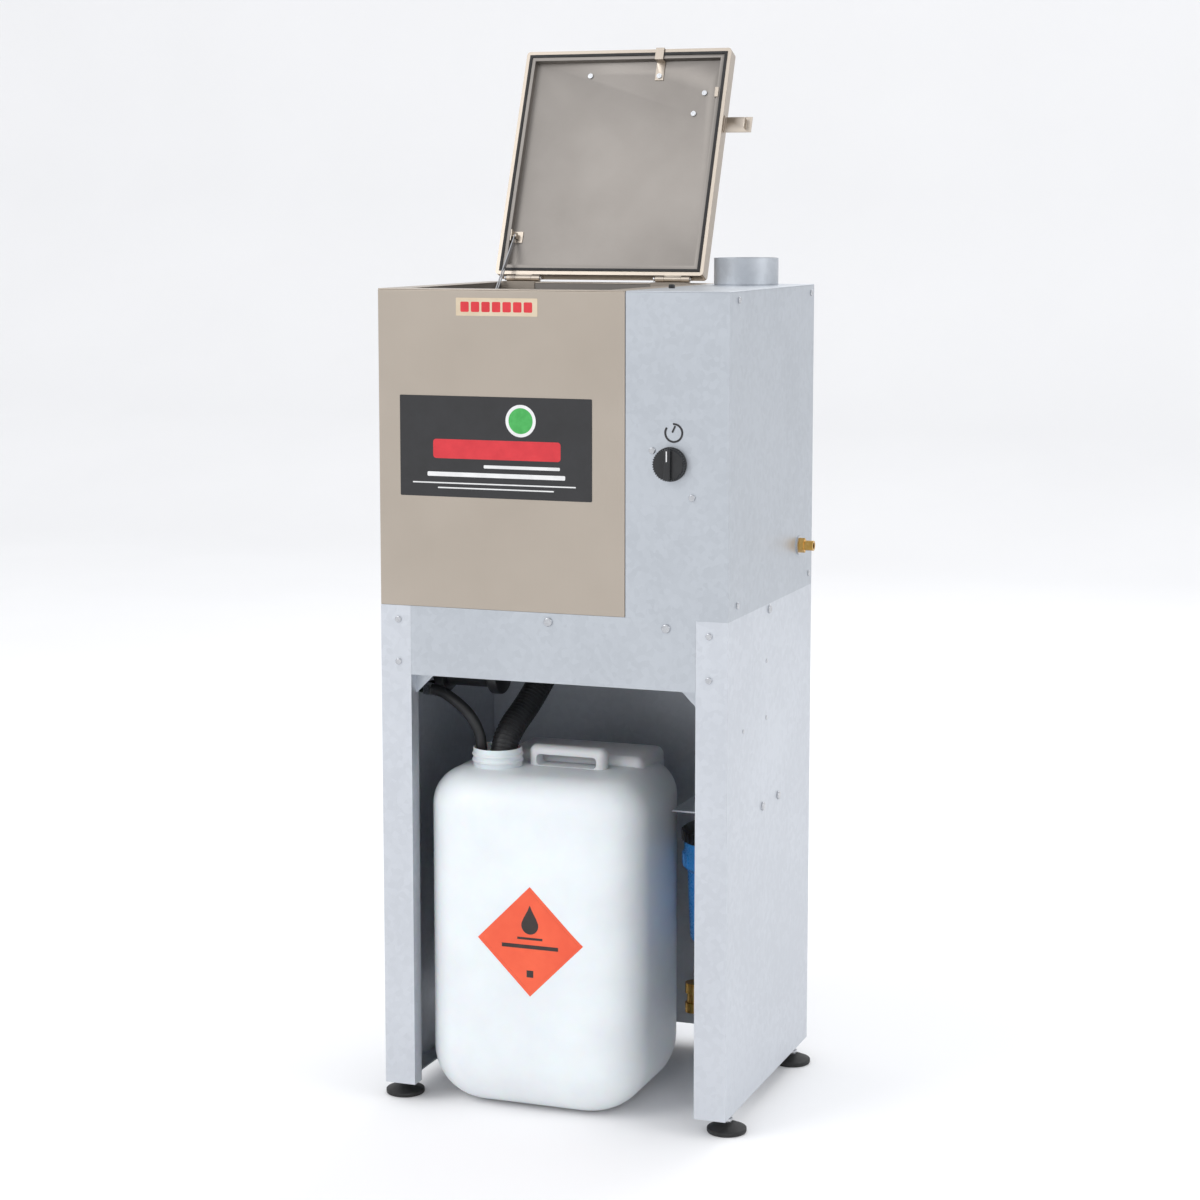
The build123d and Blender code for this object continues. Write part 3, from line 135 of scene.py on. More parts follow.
# ---- finishes ------------------------------------------------------------------------------------
@dataclass(frozen=True)
class Finish:
    """A surface whose colour drifts between two close tones, with a fine relief.

    Attributes:
        name: what the real material is called.
        tone: main colour, as sRGB hex.
        drift: the colour it drifts to.
        roughness: typical roughness.
        cloud_mm: size of the colour drift.
        relief_mm: spacing of the fine relief.
        relief_deep_mm: depth of the fine relief.
        metallic: one for bare metal.
        coat: clear coat weight.
        subsurface: share of light that goes through the skin.
    """

    name: str
    tone: str
    drift: str
    roughness: float
    cloud_mm: float = 60.0
    relief_mm: float = 1.2
    relief_deep_mm: float = 0.02
    metallic: float = 0.0
    coat: float = 0.0
    subsurface: float = 0.0
    grain: Grain = Grain.EVEN

    def pattern(self, tree: bpy.types.NodeTree) -> tuple[bpy.types.NodeSocket, bpy.types.NodeSocket]:
        """The colour drift and the relief height, both from zero to one.

        Args:
            tree: the tree the nodes go into.

        Returns:
            The drift socket and the height socket.
        """
        place = add_node(tree, "ShaderNodeTexCoord").outputs["Object"]
        cloud = add_node(tree, "ShaderNodeTexNoise", inputs={
            "Vector": place, "Scale": 1 / (self.cloud_mm * MM), "Detail": 3.0, "Roughness": 0.55})
        stretched = add_node(tree, "ShaderNodeMapping", inputs={"Vector": place, "Scale": self.grain.value})
        fine = add_node(tree, "ShaderNodeTexNoise", inputs={
            "Vector": stretched.outputs["Vector"], "Scale": 1 / (self.relief_mm * MM), "Detail": 2.0})
        return cloud.outputs["Fac"], fine.outputs["Fac"]

    def material(self) -> bpy.types.Material:
        """The node material, made once.

        Returns:
            The material.
        """
        made = bpy.data.materials.get(self.name)
        if made:
            return made
        material, tree = blank_material(self.name)
        cloud, fine = self.pattern(tree)
        ramp = add_node(tree, "ShaderNodeValToRGB", inputs={"Fac": cloud})
        ramp.color_ramp.elements[0].position, ramp.color_ramp.elements[1].position = 0.3, 0.7
        ramp.color_ramp.elements[0].color = linear(self.tone)
        ramp.color_ramp.elements[1].color = linear(self.drift)
        matt = add_node(tree, "ShaderNodeMapRange", inputs={
            "Value": fine, "To Min": self.roughness - 0.05, "To Max": self.roughness + 0.07})
        bump = add_node(tree, "ShaderNodeBump", inputs={
            "Height": fine, "Strength": 0.6, "Distance": self.relief_deep_mm * MM})
        shader = add_node(tree, "ShaderNodeBsdfPrincipled", inputs={
            "Base Color": ramp.outputs["Color"], "Roughness": matt.outputs["Result"],
            "Metallic": self.metallic, "Normal": bump.outputs["Normal"], "Coat Weight": self.coat,
            "Coat Roughness": 0.12, "Subsurface Weight": self.subsurface, "Subsurface Scale": 0.01})
        add_node(tree, "ShaderNodeOutputMaterial", inputs={"Surface": shader.outputs["BSDF"]})
        return material


@dataclass(frozen=True)
class ZincSheet(Finish):
    """Galvanised sheet: frost-like spangles a few millimetres across over faint rolling marks."""

    spangle_mm: float = 7.0

    def pattern(self, tree: bpy.types.NodeTree) -> tuple[bpy.types.NodeSocket, bpy.types.NodeSocket]:
        """The spangle's tone and the rolling marks' height, both from zero to one."""
        place = add_node(tree, "ShaderNodeTexCoord").outputs["Object"]
        warp = add_node(tree, "ShaderNodeTexNoise", inputs={"Vector": place, "Scale": 1 / (9.0 * MM)})
        bent = add_node(tree, "ShaderNodeVectorMath", {"operation": "MULTIPLY_ADD"}, {
            0: warp.outputs["Color"], 1: (0.004, 0.004, 0.004), 2: place})
        crystal = add_node(tree, "ShaderNodeTexVoronoi", inputs={
            "Vector": bent.outputs["Vector"], "Scale": 1 / (self.spangle_mm * MM)})
        cloud = add_node(tree, "ShaderNodeTexNoise", inputs={
            "Vector": place, "Scale": 1 / (self.cloud_mm * MM), "Detail": 2.0})
        tone = add_node(tree, "ShaderNodeSeparateColor", inputs={"Color": crystal.outputs["Color"]})
        both = add_node(tree, "ShaderNodeMath", {"operation": "MULTIPLY_ADD"}, {
            0: tone.outputs["Red"], 1: 0.35, 2: cloud.outputs["Fac"]})
        lower = add_node(tree, "ShaderNodeMath", {"operation": "SUBTRACT"},
                         {0: both.outputs["Value"], 1: 0.17})
        stretched = add_node(tree, "ShaderNodeMapping", inputs={"Vector": place, "Scale": self.grain.value})
        fine = add_node(tree, "ShaderNodeTexNoise", inputs={
            "Vector": stretched.outputs["Vector"], "Scale": 1 / (self.relief_mm * MM), "Detail": 2.0})
        return lower.outputs["Value"], fine.outputs["Fac"]


# stainless 304, brushed: warm grey, with hairlines that stretch highlights across the grain
STAINLESS = Finish("stainless_304_brushed", "b3a99d", "bab0a4", 0.38, 160.0, 0.9, 0.012, 1.0,
                   grain=Grain.UPRIGHT)
# stainless 304 as a lid liner and inside the tank: duller, its brushing runs the other way; its greyer, darker
# tone is partly painted shade, for the shade under the lid and inside the tank
SHADED_LINER = Finish("stainless_304_dull_liner_painted_shade", "8f8a85", "99948f", 0.52, 120.0, 1.0, 0.012, 1.0, grain=Grain.EVEN)
# galvanised mild steel sheet: cool pale grey with faint spangle and soft, wide highlights
ZINC = ZincSheet("galvanised_sheet", "b9bec4", "c0c5cb", 0.42, 150.0, 1.1, 0.012, 0.85, grain=Grain.UPRIGHT)
# galvanised sheet on the stand's skins: a little paler
ZINC_PALE = ZincSheet("galvanised_sheet_pale", "c8ccd2", "cfd3d9", 0.45, 180.0, 1.1, 0.010, 0.75,
                     grain=Grain.UPRIGHT)
# bright zinc plate on screws, rivets, nuts and the stay: small sharp glints
BRIGHT_ZINC = Finish("bright_zinc_plate", "b4b6ba", "c8cacd", 0.26, 6.0, 0.6, 0.01, 1.0)
# natural HDPE, blow moulded: milky and waxy, with light going a little way in and an orange-peel skin
HDPE = Finish("hdpe_blow_moulded", "e6e7ea", "eeeff1", 0.42, 80.0, 5.0, 0.10, subsurface=0.25)
# EPDM rubber hose: charcoal, dull, with a faint wrapped-cloth texture
HOSE_RUBBER = Finish("epdm_hose_rubber", "1b1c1e", "262729", 0.48, 20.0, 1.0, 0.04)
# moulded rubber feet and seals: nearly black and matt
PAD_RUBBER = Finish("moulded_rubber", "1d1d1d", "292929", 0.62, 14.0, 0.9, 0.05)
# nylon and ABS mouldings: black with a soft satin sheen from a spark-eroded grain
BLACK_NYLON = Finish("black_nylon_moulded", "17181a", "222325", 0.38, 12.0, 0.7, 0.03)
# polypropylene filter bowl: saturated sky blue, glossy
BLUE_POLYPROPYLENE = Finish("blue_polypropylene", "2f8ad8", "4a9fe4", 0.27, 30.0, 2.0, 0.02, coat=0.3)
# free-cutting brass, turned: yellow with fine tool rings
BRASS = Finish("turned_brass", "c79a4a", "d8b06a", 0.24, 5.0, 0.35, 0.01, 1.0)
# spun polypropylene cartridge: soft white fibre
SPUN_FIBRE = Finish("spun_fibre", "dedcd4", "efeee8", 0.85, 4.0, 0.5, 0.15)
# printed vinyl: an even ink under a thin gloss film
BLACK_VINYL = Finish("black_vinyl", "141416", "1c1c1f", 0.30, 25.0, 3.0, 0.01, coat=0.4)
BEIGE_VINYL = Finish("beige_vinyl", "cdbb9f", "d7c7ad", 0.38, 25.0, 3.0, 0.01, coat=0.3)
RED_INK = Finish("red_ink", "c9202c", "d62a34", 0.34, 18.0, 2.5, 0.008, coat=0.3)
WHITE_INK = Finish("white_ink", "dcdcdc", "ebebeb", 0.36, 18.0, 2.5, 0.008, coat=0.3)
GREEN_INK = Finish("green_ink", "35a046", "48b257", 0.36, 10.0, 2.5, 0.008, coat=0.3)
ORANGE_VINYL = Finish("orange_vinyl", "e8502a", "f05c34", 0.36, 30.0, 3.0, 0.01, coat=0.3)
DARK_INK = Finish("dark_ink", "2a211e", "352b27", 0.40, 12.0, 2.5, 0.008)
# matt floor paint in a studio: a very pale warm white
FLOOR_PAINT = Finish("studio_floor", "f6f6f6", "f8f8f8", 0.75, 700.0, 4.0, 0.02)


# ---- making pieces -------------------------------------------------------------------------------
def clean(bm: bmesh.types.BMesh) -> None:
    """Merges doubled points and turns the faces outwards."""
    bmesh.ops.remove_doubles(bm, verts=bm.verts, dist=1e-6)
    bmesh.ops.recalc_face_normals(bm, faces=bm.faces)


def points_of(geometry: list) -> list[bmesh.types.BMVert]:
    """The points among the elements that an operator returns."""
    return [element for element in geometry if isinstance(element, bmesh.types.BMVert)]


def block(bm: bmesh.types.BMesh, low: Vector, high: Vector, round_mm: float = 0.0, segments: int = 3,
          turn: Matrix | None = None) -> list[bmesh.types.BMVert]:
    """Adds a box with rounded edges.

    Args:
        bm: the mesh it goes into.
        low: lowest corner, in metres.
        high: highest corner, in metres.
        round_mm: edge radius.
        segments: facets round each edge.
        turn: a turn about the box's own middle.

    Returns:
        Its points.
    """
    middle, size = (low + high) / 2, high - low
    matrix = Matrix.Translation(middle) @ (turn or Matrix.Identity(4)) @ Matrix.Diagonal((*size, 1.0))
    verts = bmesh.ops.create_cube(bm, size=1.0, matrix=matrix)["verts"]
    if round_mm:
        edges = list({edge for vert in verts for edge in vert.link_edges})
        made = bmesh.ops.bevel(bm, geom=edges, offset=round_mm * MM, affect="EDGES", segments=segments,
                               profile=0.5, material=-1, clamp_overlap=True)
        verts = list({vert for vert in verts if vert.is_valid} | set(made["verts"]))
    return verts


def disc(bm: bmesh.types.BMesh, centre: Vector, axis: Vector, radius_mm: float, thick_mm: float,
         sides: int = 40, round_mm: float = 0.0) -> None:
    """Adds a short round or many-sided bar that starts at a point.

    Args:
        bm: the mesh it goes into.
        centre: middle of its first face.
        axis: the way it runs.
        radius_mm: radius.
        thick_mm: length.
        sides: number of sides.
        round_mm: radius of its end edges.
    """
    turn = Vector((0, 0, 1)).rotation_difference(axis).to_matrix().to_4x4()
    matrix = Matrix.Translation(centre + axis.normalized() * thick_mm * MM / 2) @ turn
    verts = bmesh.ops.create_cone(bm, cap_ends=True, segments=sides, radius1=radius_mm * MM,
                                  radius2=radius_mm * MM, depth=thick_mm * MM, matrix=matrix)["verts"]
    if round_mm:
        rims = [edge for edge in {e for v in verts for e in v.link_edges}
                if any(len(face.verts) > 4 for face in edge.link_faces)]
        bmesh.ops.bevel(bm, geom=rims, offset=round_mm * MM, affect="EDGES", segments=3, profile=0.5,
                        material=-1)


def turned(bm: bmesh.types.BMesh, profile: list[tuple[float, float]], centre: Vector,
           axis: Vector = Vector((0, 0, 1)), steps: int = 64) -> None:
    """Adds a turned shape by spinning a profile once round.

    Args:
        bm: the mesh it goes into.
        profile: radius and height pairs in millimetres; a closed shape repeats its first pair.
        centre: where height is zero.
        axis: the axis of the turn.
        steps: facets in the full turn.
    """
    part = bmesh.new()
    verts = [part.verts.new(mm(radius, 0.0, height)) for radius, height in profile]
    edges = [part.edges.new(pair) for pair in zip(verts, verts[1:])]
    bmesh.ops.spin(part, geom=verts + edges, axis=(0, 0, 1), cent=(0, 0, 0), angle=math.tau, steps=steps,
                   use_merge=True)
    clean(part)
    turn = Vector((0, 0, 1)).rotation_difference(axis).to_matrix().to_4x4()
    bmesh.ops.transform(part, matrix=Matrix.Translation(centre) @ turn, verts=part.verts)
    joined = bpy.data.meshes.new("turned")
    part.to_mesh(joined)
    part.free()
    bm.from_mesh(joined)
    bpy.data.meshes.remove(joined)


def piece(name: str, bm: bmesh.types.BMesh, finish: Finish, body: Body | str | None = Body.ROOT,
          nodes: tuple[str, ...] = (), sharp_deg: float = 38.0) -> bpy.types.Object:
    """Makes an object from a mesh, dresses it and fixes it to its body.

    Args:
        name: the piece's name.
        bm: its mesh, in metres and in place; it is freed.
        finish: its finish.
        body: the body it rides on, or None for a piece that is left unfixed.
        nodes: the frame's nodes that it stands for.
        sharp_deg: edges sharper than this stay crisp.

    Returns:
        The object.
    """
    mesh = bpy.data.meshes.new(name)
    bm.to_mesh(mesh)
    bm.free()
    for face in mesh.polygons:
        face.use_smooth = True
    mesh.set_sharp_from_angle(angle=math.radians(sharp_deg))
    mesh.materials.append(finish.material())
    made = bpy.data.objects.new(name, mesh)
    bpy.context.scene.collection.objects.link(made)
    if body:
        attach(made, body.value if isinstance(body, Body) else body)
    if nodes:
        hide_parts(*nodes)
    LOG.info("%s: %d faces, %s", name, len(mesh.polygons), finish.name)
    return made


def eased(node: str, finish: Finish, body: Body | str = Body.ROOT, ease_mm: float = 0.4) -> None:
    """Gives a sheet or machined node softly broken edges: a merged copy with a bevel.

    Args:
        node: the frame's node.
        finish: its finish.
        body: the body it rides on.
        ease_mm: width of the broken edge.
    """
    bm = bmesh.new()
    bm.from_mesh(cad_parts[node].data)
    bmesh.ops.remove_doubles(bm, verts=bm.verts, dist=1e-6)
    bmesh.ops.dissolve_limit(bm, angle_limit=math.radians(0.5), verts=bm.verts, edges=bm.edges)
    made = piece(node + "_eased", bm, finish, body, (node,))
    bevel = made.modifiers.new("broken_edges", "BEVEL")
    bevel.width = ease_mm * MM
    bevel.segments = 2
    bevel.limit_method = "ANGLE"
    bevel.angle_limit = math.radians(40)
    bevel.harden_normals = True


def dressed(node: str, finish: Finish) -> None:
    """Gives a node that is kept as it is its finish."""
    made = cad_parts[node]
    made.data.materials.clear()
    made.data.materials.append(finish.material())
    LOG.info("%s: kept, %s", node, finish.name)


def combine(made: bpy.types.Object, bm: bmesh.types.BMesh, operation: str) -> None:
    """Joins, or cuts away, a second solid, and keeps the result as the object's mesh.

    Args:
        made: the object that changes.
        bm: the second solid; it is freed.
        operation: UNION or DIFFERENCE.
    """
    mesh = bpy.data.meshes.new("tool")
    bm.to_mesh(mesh)
    bm.free()
    tool = bpy.data.objects.new("tool", mesh)
    bpy.context.scene.collection.objects.link(tool)
    cut = made.modifiers.new("cut", "BOOLEAN")
    cut.operation, cut.object, cut.solver = operation, tool, "EXACT"
    graph = bpy.context.evaluated_depsgraph_get()
    result = bpy.data.meshes.new_from_object(made.evaluated_get(graph), depsgraph=graph)
    made.modifiers.clear()
    old, made.data = made.data, result
    bpy.data.meshes.remove(old)
    bpy.data.objects.remove(tool)
    bpy.data.meshes.remove(mesh)


def tube_mesh(points: list[tuple[float, float, float]], radius_mm: float) -> bpy.types.Mesh:
    """A round tube along a smooth curve near its route points.

    Args:
        points: the route, in millimetres.
        radius_mm: outside radius.

    Returns:
        Its mesh.
    """
    curve = bpy.data.curves.new("route", "CURVE")
    curve.dimensions, curve.bevel_depth, curve.bevel_resolution = "3D", radius_mm * MM, 7
    curve.use_fill_caps = True
    spline = curve.splines.new("NURBS")
    spline.points.add(len(points) - 1)
    for point, place in zip(spline.points, points):
        point.co = (*mm(*place), 1.0)
    spline.order_u, spline.use_endpoint_u, spline.resolution_u = 3, True, 10
    holder = bpy.data.objects.new("route", curve)
    bpy.context.scene.collection.objects.link(holder)
    graph = bpy.context.evaluated_depsgraph_get()
    mesh = bpy.data.meshes.new_from_object(holder.evaluated_get(graph), depsgraph=graph)
    bpy.data.objects.remove(holder)
    bpy.data.curves.remove(curve)
    return mesh


def smooth_route(points: list[tuple[float, float, float]], pitch_mm: float) -> list[Vector]:
    """Evenly spaced points of the quadratic B-spline that the route points steer, in metres.

    Args:
        points: the route, in millimetres.
        pitch_mm: spacing.

    Returns:
        The points.
    """
    ends = [mm(*p) for p in points]
    knots = [ends[0], *[(a + b) / 2 for a, b in zip(ends[1:-2], ends[2:-1])], ends[-1]]
    fine: list[Vector] = [ends[0]]
    for start, steer, end in zip(knots, ends[1:-1], knots[1:]):
        for step in range(1, 41):
            t = step / 40
            fine.append(start * (1 - t) ** 2 + steer * 2 * t * (1 - t) + end * t * t)
    spaced, walked = [fine[0]], 0.0
    for before, after in zip(fine, fine[1:]):
        walked += (after - before).length
        if walked >= pitch_mm * MM:
            spaced.append(after)
            walked = 0.0
    return spaced


# ---- sub-assemblies ------------------------------------------------------------------------------
@dataclass
class SheetMetal:
    """The sheet parts of the stand, the cabinet and the lid, most with softly broken edges."""

    edge_mm: float = 0.8

    def build(self) -> None:
        """Eases and dresses every sheet."""
        for node in ("tank_front_panel", "tank_side_panel", "tank_deck"):
            eased(node, STAINLESS, ease_mm=self.edge_mm)
        for node in ("service_front_panel", "service_side_panel", "service_top_panel", "cabinet_back_panel",
                     "stand_crossbar", "exhaust_collar"):
            eased(node, ZINC, ease_mm=0.5)
        for node in ("stand_side_left", "stand_side_right", "stand_back_panel"):
            eased(node, ZINC_PALE, ease_mm=self.edge_mm)
        for node in ("cabinet_base", "divider_panel", "filter_bracket", "pump_bracket"):
            dressed(node, ZINC)
        # the lid liner takes the darker stainless, whose tone is partly painted shade
        for node, finish, edge in (("lid_shell", STAINLESS, 0.4), ("lid_liner", SHADED_LINER, 0.5),
                                   ("lid_catches", STAINLESS, 0.3), ("interlock_tab", STAINLESS, 0.3),
                                   ("hinge_leaves_upper", STAINLESS, 0.25),
                                   ("stay_bracket", STAINLESS, 0.25)):
            eased(node, finish, Body.LID, edge)
        eased("stay_strip", BRIGHT_ZINC, Body.STAY, 0.3)
        # the basin, spigot, rack and spray bar take the darker stainless, whose tone is partly painted shade
        # of the tank's inside
        for node in ("hinge_leaves_lower", "wash_basin", "drain_spigot", "parts_rack", "spray_bar"):
            dressed(node, STAINLESS if node.startswith("hinge") else SHADED_LINER)


@dataclass
class Fasteners:
    """Screws, rivets, bolts and small bought-in fittings, kept in their own shapes."""

    def build(self) -> None:
        """Dresses each of them."""
        for node in ("stand_screws", "stand_bolts", "stand_rivets", "cabinet_screws", "lid_screws",
                     "hinge_screws", "hinge_pins", "foot_weld_nuts", "hose_clamps", "inlet_nut"):
            dressed(node, BRIGHT_ZINC)
        for node in ("timer_body", "interlock_valve", "interlock_button", "service_lines", "filter_lines"):
            dressed(node, BLACK_NYLON)
        eased("pump_body", BLACK_NYLON, ease_mm=0.8)
        eased("inlet_fitting", BRASS, ease_mm=0.35)
        dressed("low_coupling", BRASS)
        dressed("lid_seal", PAD_RUBBER)
        dressed("filter_cartridge", SPUN_FIBRE)


@dataclass
class LevellingFoot:
    """A rubber pad on a threaded stud."""

    node: str
    x: float
    y: float
    pad_radius: float = 25.0
    pad_height: float = 13.0

    def build(self) -> None:
        """Turns the pad, and a threaded stud with its hex collar in place of the stud."""
        r, h = self.pad_radius, self.pad_height
        bm = bmesh.new()
        turned(bm, [(0, 0), (r - 2, 0), (r - 0.6, 0.6), (r, 2), (r, 5.5), (r - 0.8, 6.3), (r - 2.5, 7),
                    (r - 7, 9), (r - 12, 11.2), (r - 15, h - 0.6), (r - 16, h), (0, h)], mm(self.x, self.y, 0))
        piece(self.node + "_pad", bm, PAD_RUBBER, self.node)
        stud = bmesh.new()
        low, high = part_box(self.node)
        turns = int((high[2] / MM - h) / 1.25)
        thread = [(0.0, h - 1)]
        for turn in range(turns):
            thread += [(3.5, h + 1.25 * turn), (4.0, h + 1.25 * turn + 0.6)]
        turned(stud, thread + [(3.5, high[2] / MM), (0, high[2] / MM)], mm(self.x, self.y, 0), steps=24)
        disc(stud, mm(self.x, self.y, h), Vector((0, 0, 1)), 7.5, 5.0, 6, 0.5)
        piece(self.node + "_stud", stud, BRIGHT_ZINC, self.node, (self.node,), 30)


@dataclass
class Drum:
    """The blow-moulded drum with its neck, carrying handle and diamond label, in millimetres."""

    left: float = -184.0
    right: float = 106.0
    front: float = -192.0
    back: float = 60.0
    height: float = 436.0
    side_radius: float = 78.0
    top_radius: float = 46.0
    base_radius: float = 70.0
    wall: float = 3.0
    neck_x: float = -105.0
    neck_y: float = -103.0
    neck_radius: float = 33.0
    neck_bore: float = 30.0
    neck_top: float = 460.0
    thread_deep: float = 1.5
    handle_x: float = -16.0
    handle_y: float = -78.0
    handle_length: float = 104.0
    handle_rise: float = 26.0
    label_x: float = -26.0
    label_z: float = 232.0
    label_side: float = 100.0

    def shell(self, inset: float) -> bmesh.types.BMesh:
        """The drum's rounded block.

        Args:
            inset: how far inside the outer skin it lies.

        Returns:
            A closed mesh.
        """
        bm = bmesh.new()
        low = mm(self.left + inset, self.front + inset, inset)
        high = mm(self.right - inset, self.back - inset, self.height - inset)
        block(bm, low, high)
        upright = [e for e in bm.edges if abs(e.verts[0].co.z - e.verts[1].co.z) > 0.1]
        bmesh.ops.bevel(bm, geom=upright, offset=(self.side_radius - inset) * MM, affect="EDGES", segments=18,
                        profile=0.5, material=-1)
        for level, radius in ((high.z, self.top_radius), (low.z, self.base_radius)):
            rim = [e for e in bm.edges if all(abs(v.co.z - level) < 1e-6 for v in e.verts)]
            bmesh.ops.bevel(bm, geom=rim, offset=(radius - inset) * MM, affect="EDGES", segments=12,
                            profile=0.5, material=-1)
        clean(bm)
        return bm

    def handle(self) -> bmesh.types.BMesh:
        """The solid of the handle's arch, its feet sunk in the drum's top."""
        bm = bmesh.new()
        half, z = self.handle_length / 2, self.height
        block(bm, mm(self.handle_x - half, self.handle_y - 12, z - 12),
              mm(self.handle_x + half, self.handle_y + 12, z + self.handle_rise), 9.0, 6)
        return bm

    def crown(self) -> bmesh.types.BMesh:
        """The raised shoulder behind the handle."""
        bm, z = bmesh.new(), self.height
        verts = block(bm, mm(self.handle_x - 98, self.handle_y + 20, z - 60),
                      mm(self.handle_x + 92, self.back - 22, z + 12), 11.5, 8)
        bmesh.ops.recalc_face_normals(bm, faces=[f for f in bm.faces if f.verts[0] in verts])
        return bm

    def finger_gap(self) -> bmesh.types.BMesh:
        """The rounded hole under the handle."""
        bm = bmesh.new()
        half, z = self.handle_length / 2 - 11, self.height
        block(bm, mm(self.handle_x - half, self.handle_y - 30, z + 0.5),
              mm(self.handle_x + half, self.handle_y + 30, z + self.handle_rise - 11), 5.0, 5)
        return bm

    def neck(self) -> bmesh.types.BMesh:
        """The neck's threaded collar."""
        bm, out, core = bmesh.new(), self.neck_radius, self.neck_radius - self.thread_deep
        top, z, bore = self.neck_top, self.height, self.neck_bore
        ring = [(bore, z - 4), (core, z - 4), (core, z + 5), (out, z + 6.5), (out, z + 8.5), (core, z + 10),
                (core, z + 13), (out, z + 14.5), (out, z + 16), (core, z + 17.5), (core, top - 1),
                (core - 0.5, top), (bore + 0.5, top), (bore, top - 0.5), (bore, z - 4)]
        turned(bm, ring, mm(self.neck_x, self.neck_y, 0))
        return bm

    def bore(self) -> bmesh.types.BMesh:
        """The cut that opens the drum's top under its neck."""
        bm = bmesh.new()
        disc(bm, mm(self.neck_x, self.neck_y, self.height - 20), Vector((0, 0, 1)), self.neck_bore, 40, 64)
        return bm

    def build(self) -> bpy.types.Object:
        """Moulds the drum as one piece.

        Returns:
            The drum.
        """
        made = piece("drum_moulding", self.shell(0.0), HDPE, Body.DRUM, ("drum",))
        combine(made, self.handle(), "UNION")
        combine(made, self.finger_gap(), "DIFFERENCE")
        combine(made, self.crown(), "UNION")
        combine(made, self.shell(self.wall), "DIFFERENCE")
        combine(made, self.bore(), "DIFFERENCE")
        combine(made, self.neck(), "UNION")
        for face in made.data.polygons:
            face.use_smooth = True
        made.data.set_sharp_from_angle(angle=math.radians(32))
        return made

    def on_skin(self, bm: bmesh.types.BMesh, skin: BVHTree, proud: float) -> None:
        """Lays a flat print on the drum's front.

        Args:
            bm: the print, standing at y = 0 with its thickness towards the back.
            skin: the drum's surface.
            proud: how far off the skin it lies, in millimetres.
        """
        for vert in bm.verts:
            hit = skin.ray_cast(Vector((vert.co.x, -0.4, vert.co.z)), Vector((0, 1, 0)))[0]
            vert.co.y = hit.y - proud * MM + vert.co.y

    def print_piece(self, name: str, outline: list[tuple[float, float]], hollow: bool, finish: Finish,
                    skin: BVHTree, proud: float) -> None:
        """A flat print with a given outline, wrapped on the drum.

        Args:
            name: the piece's name.
            outline: corners from the label's centre, in millimetres.
            hollow: whether the print is only a thin border along its outline.
            finish: its ink.
            skin: the drum's surface.
            proud: height over the skin, in millimetres.
        """
        bm = bmesh.new()
        face = bm.faces.new([bm.verts.new(mm(self.label_x + x, 0, self.label_z + z)) for x, z in outline])
        if hollow:
            bmesh.ops.inset_individual(bm, faces=[face], thickness=1.6 * MM, use_even_offset=True)
            bm.faces.ensure_lookup_table()
            middle = mm(self.label_x, 0, self.label_z)
            inner = min(bm.faces, key=lambda f: (f.calc_center_median() - middle).length)
            bmesh.ops.delete(bm, geom=[inner], context="FACES_ONLY")
        for cut in range(-20, 30):
            bmesh.ops.bisect_plane(bm, geom=bm.verts[:] + bm.edges[:] + bm.faces[:],
                                   plane_co=mm(self.label_x + 2.5 * cut, 0, 0), plane_no=(1, 0, 0))
        self.on_skin(bm, skin, proud)
        if bm.faces[:][0].normal.y > 0:
            bmesh.ops.reverse_faces(bm, faces=bm.faces)
        back = bmesh.ops.extrude_face_region(bm, geom=bm.faces[:])["geom"]
        bmesh.ops.translate(bm, verts=points_of(back), vec=(0, -0.1 * MM, 0))
        bmesh.ops.recalc_face_normals(bm, faces=bm.faces)
        nodes = ("drum_label",) if name == "diamond_ground" else ()
        piece(name, bm, finish, Body.DRUM, nodes)

    def dress_label(self, made: bpy.types.Object) -> None:
        """Prints the diamond: orange ground, dark border, a plain drop and a bar.

        Args:
            made: the drum.
        """
        bm = bmesh.new()
        bm.from_mesh(made.data)
        skin = BVHTree.FromBMesh(bm)
        bm.free()
        half = self.label_side / math.sqrt(2)

        def diamond(h: float) -> list[tuple[float, float]]:
            """Corners of a diamond of that half width."""
            return [(0, -h), (h, 0), (0, h), (-h, 0)]

        drop = [(0.0, 47.0), (3.0, 40.0), (8.5, 30.0)]
        drop += [(11.5 * math.cos(a), 21.0 + 11.5 * math.sin(a)) for a in
                 [math.radians(30 - 240 * i / 14) for i in range(15)]]
        drop += [(-8.5, 30.0), (-3.0, 40.0)]
        self.print_piece("diamond_ground", diamond(half), False, ORANGE_VINYL, skin, 0.1)
        self.print_piece("diamond_border", diamond(half - 6.0), True, DARK_INK, skin, 0.2)
        self.print_piece("diamond_drop", drop, False, DARK_INK, skin, 0.2)
        for name, half, low, high in (("bar", 17, 2.5, 5.5), ("rule", 38, -9, -4), ("foot", 4.5, -46, -37)):
            outline = [(-half, low), (half, low), (half, high), (-half, high)]
            self.print_piece("diamond_" + name, outline, False, DARK_INK, skin, 0.2)


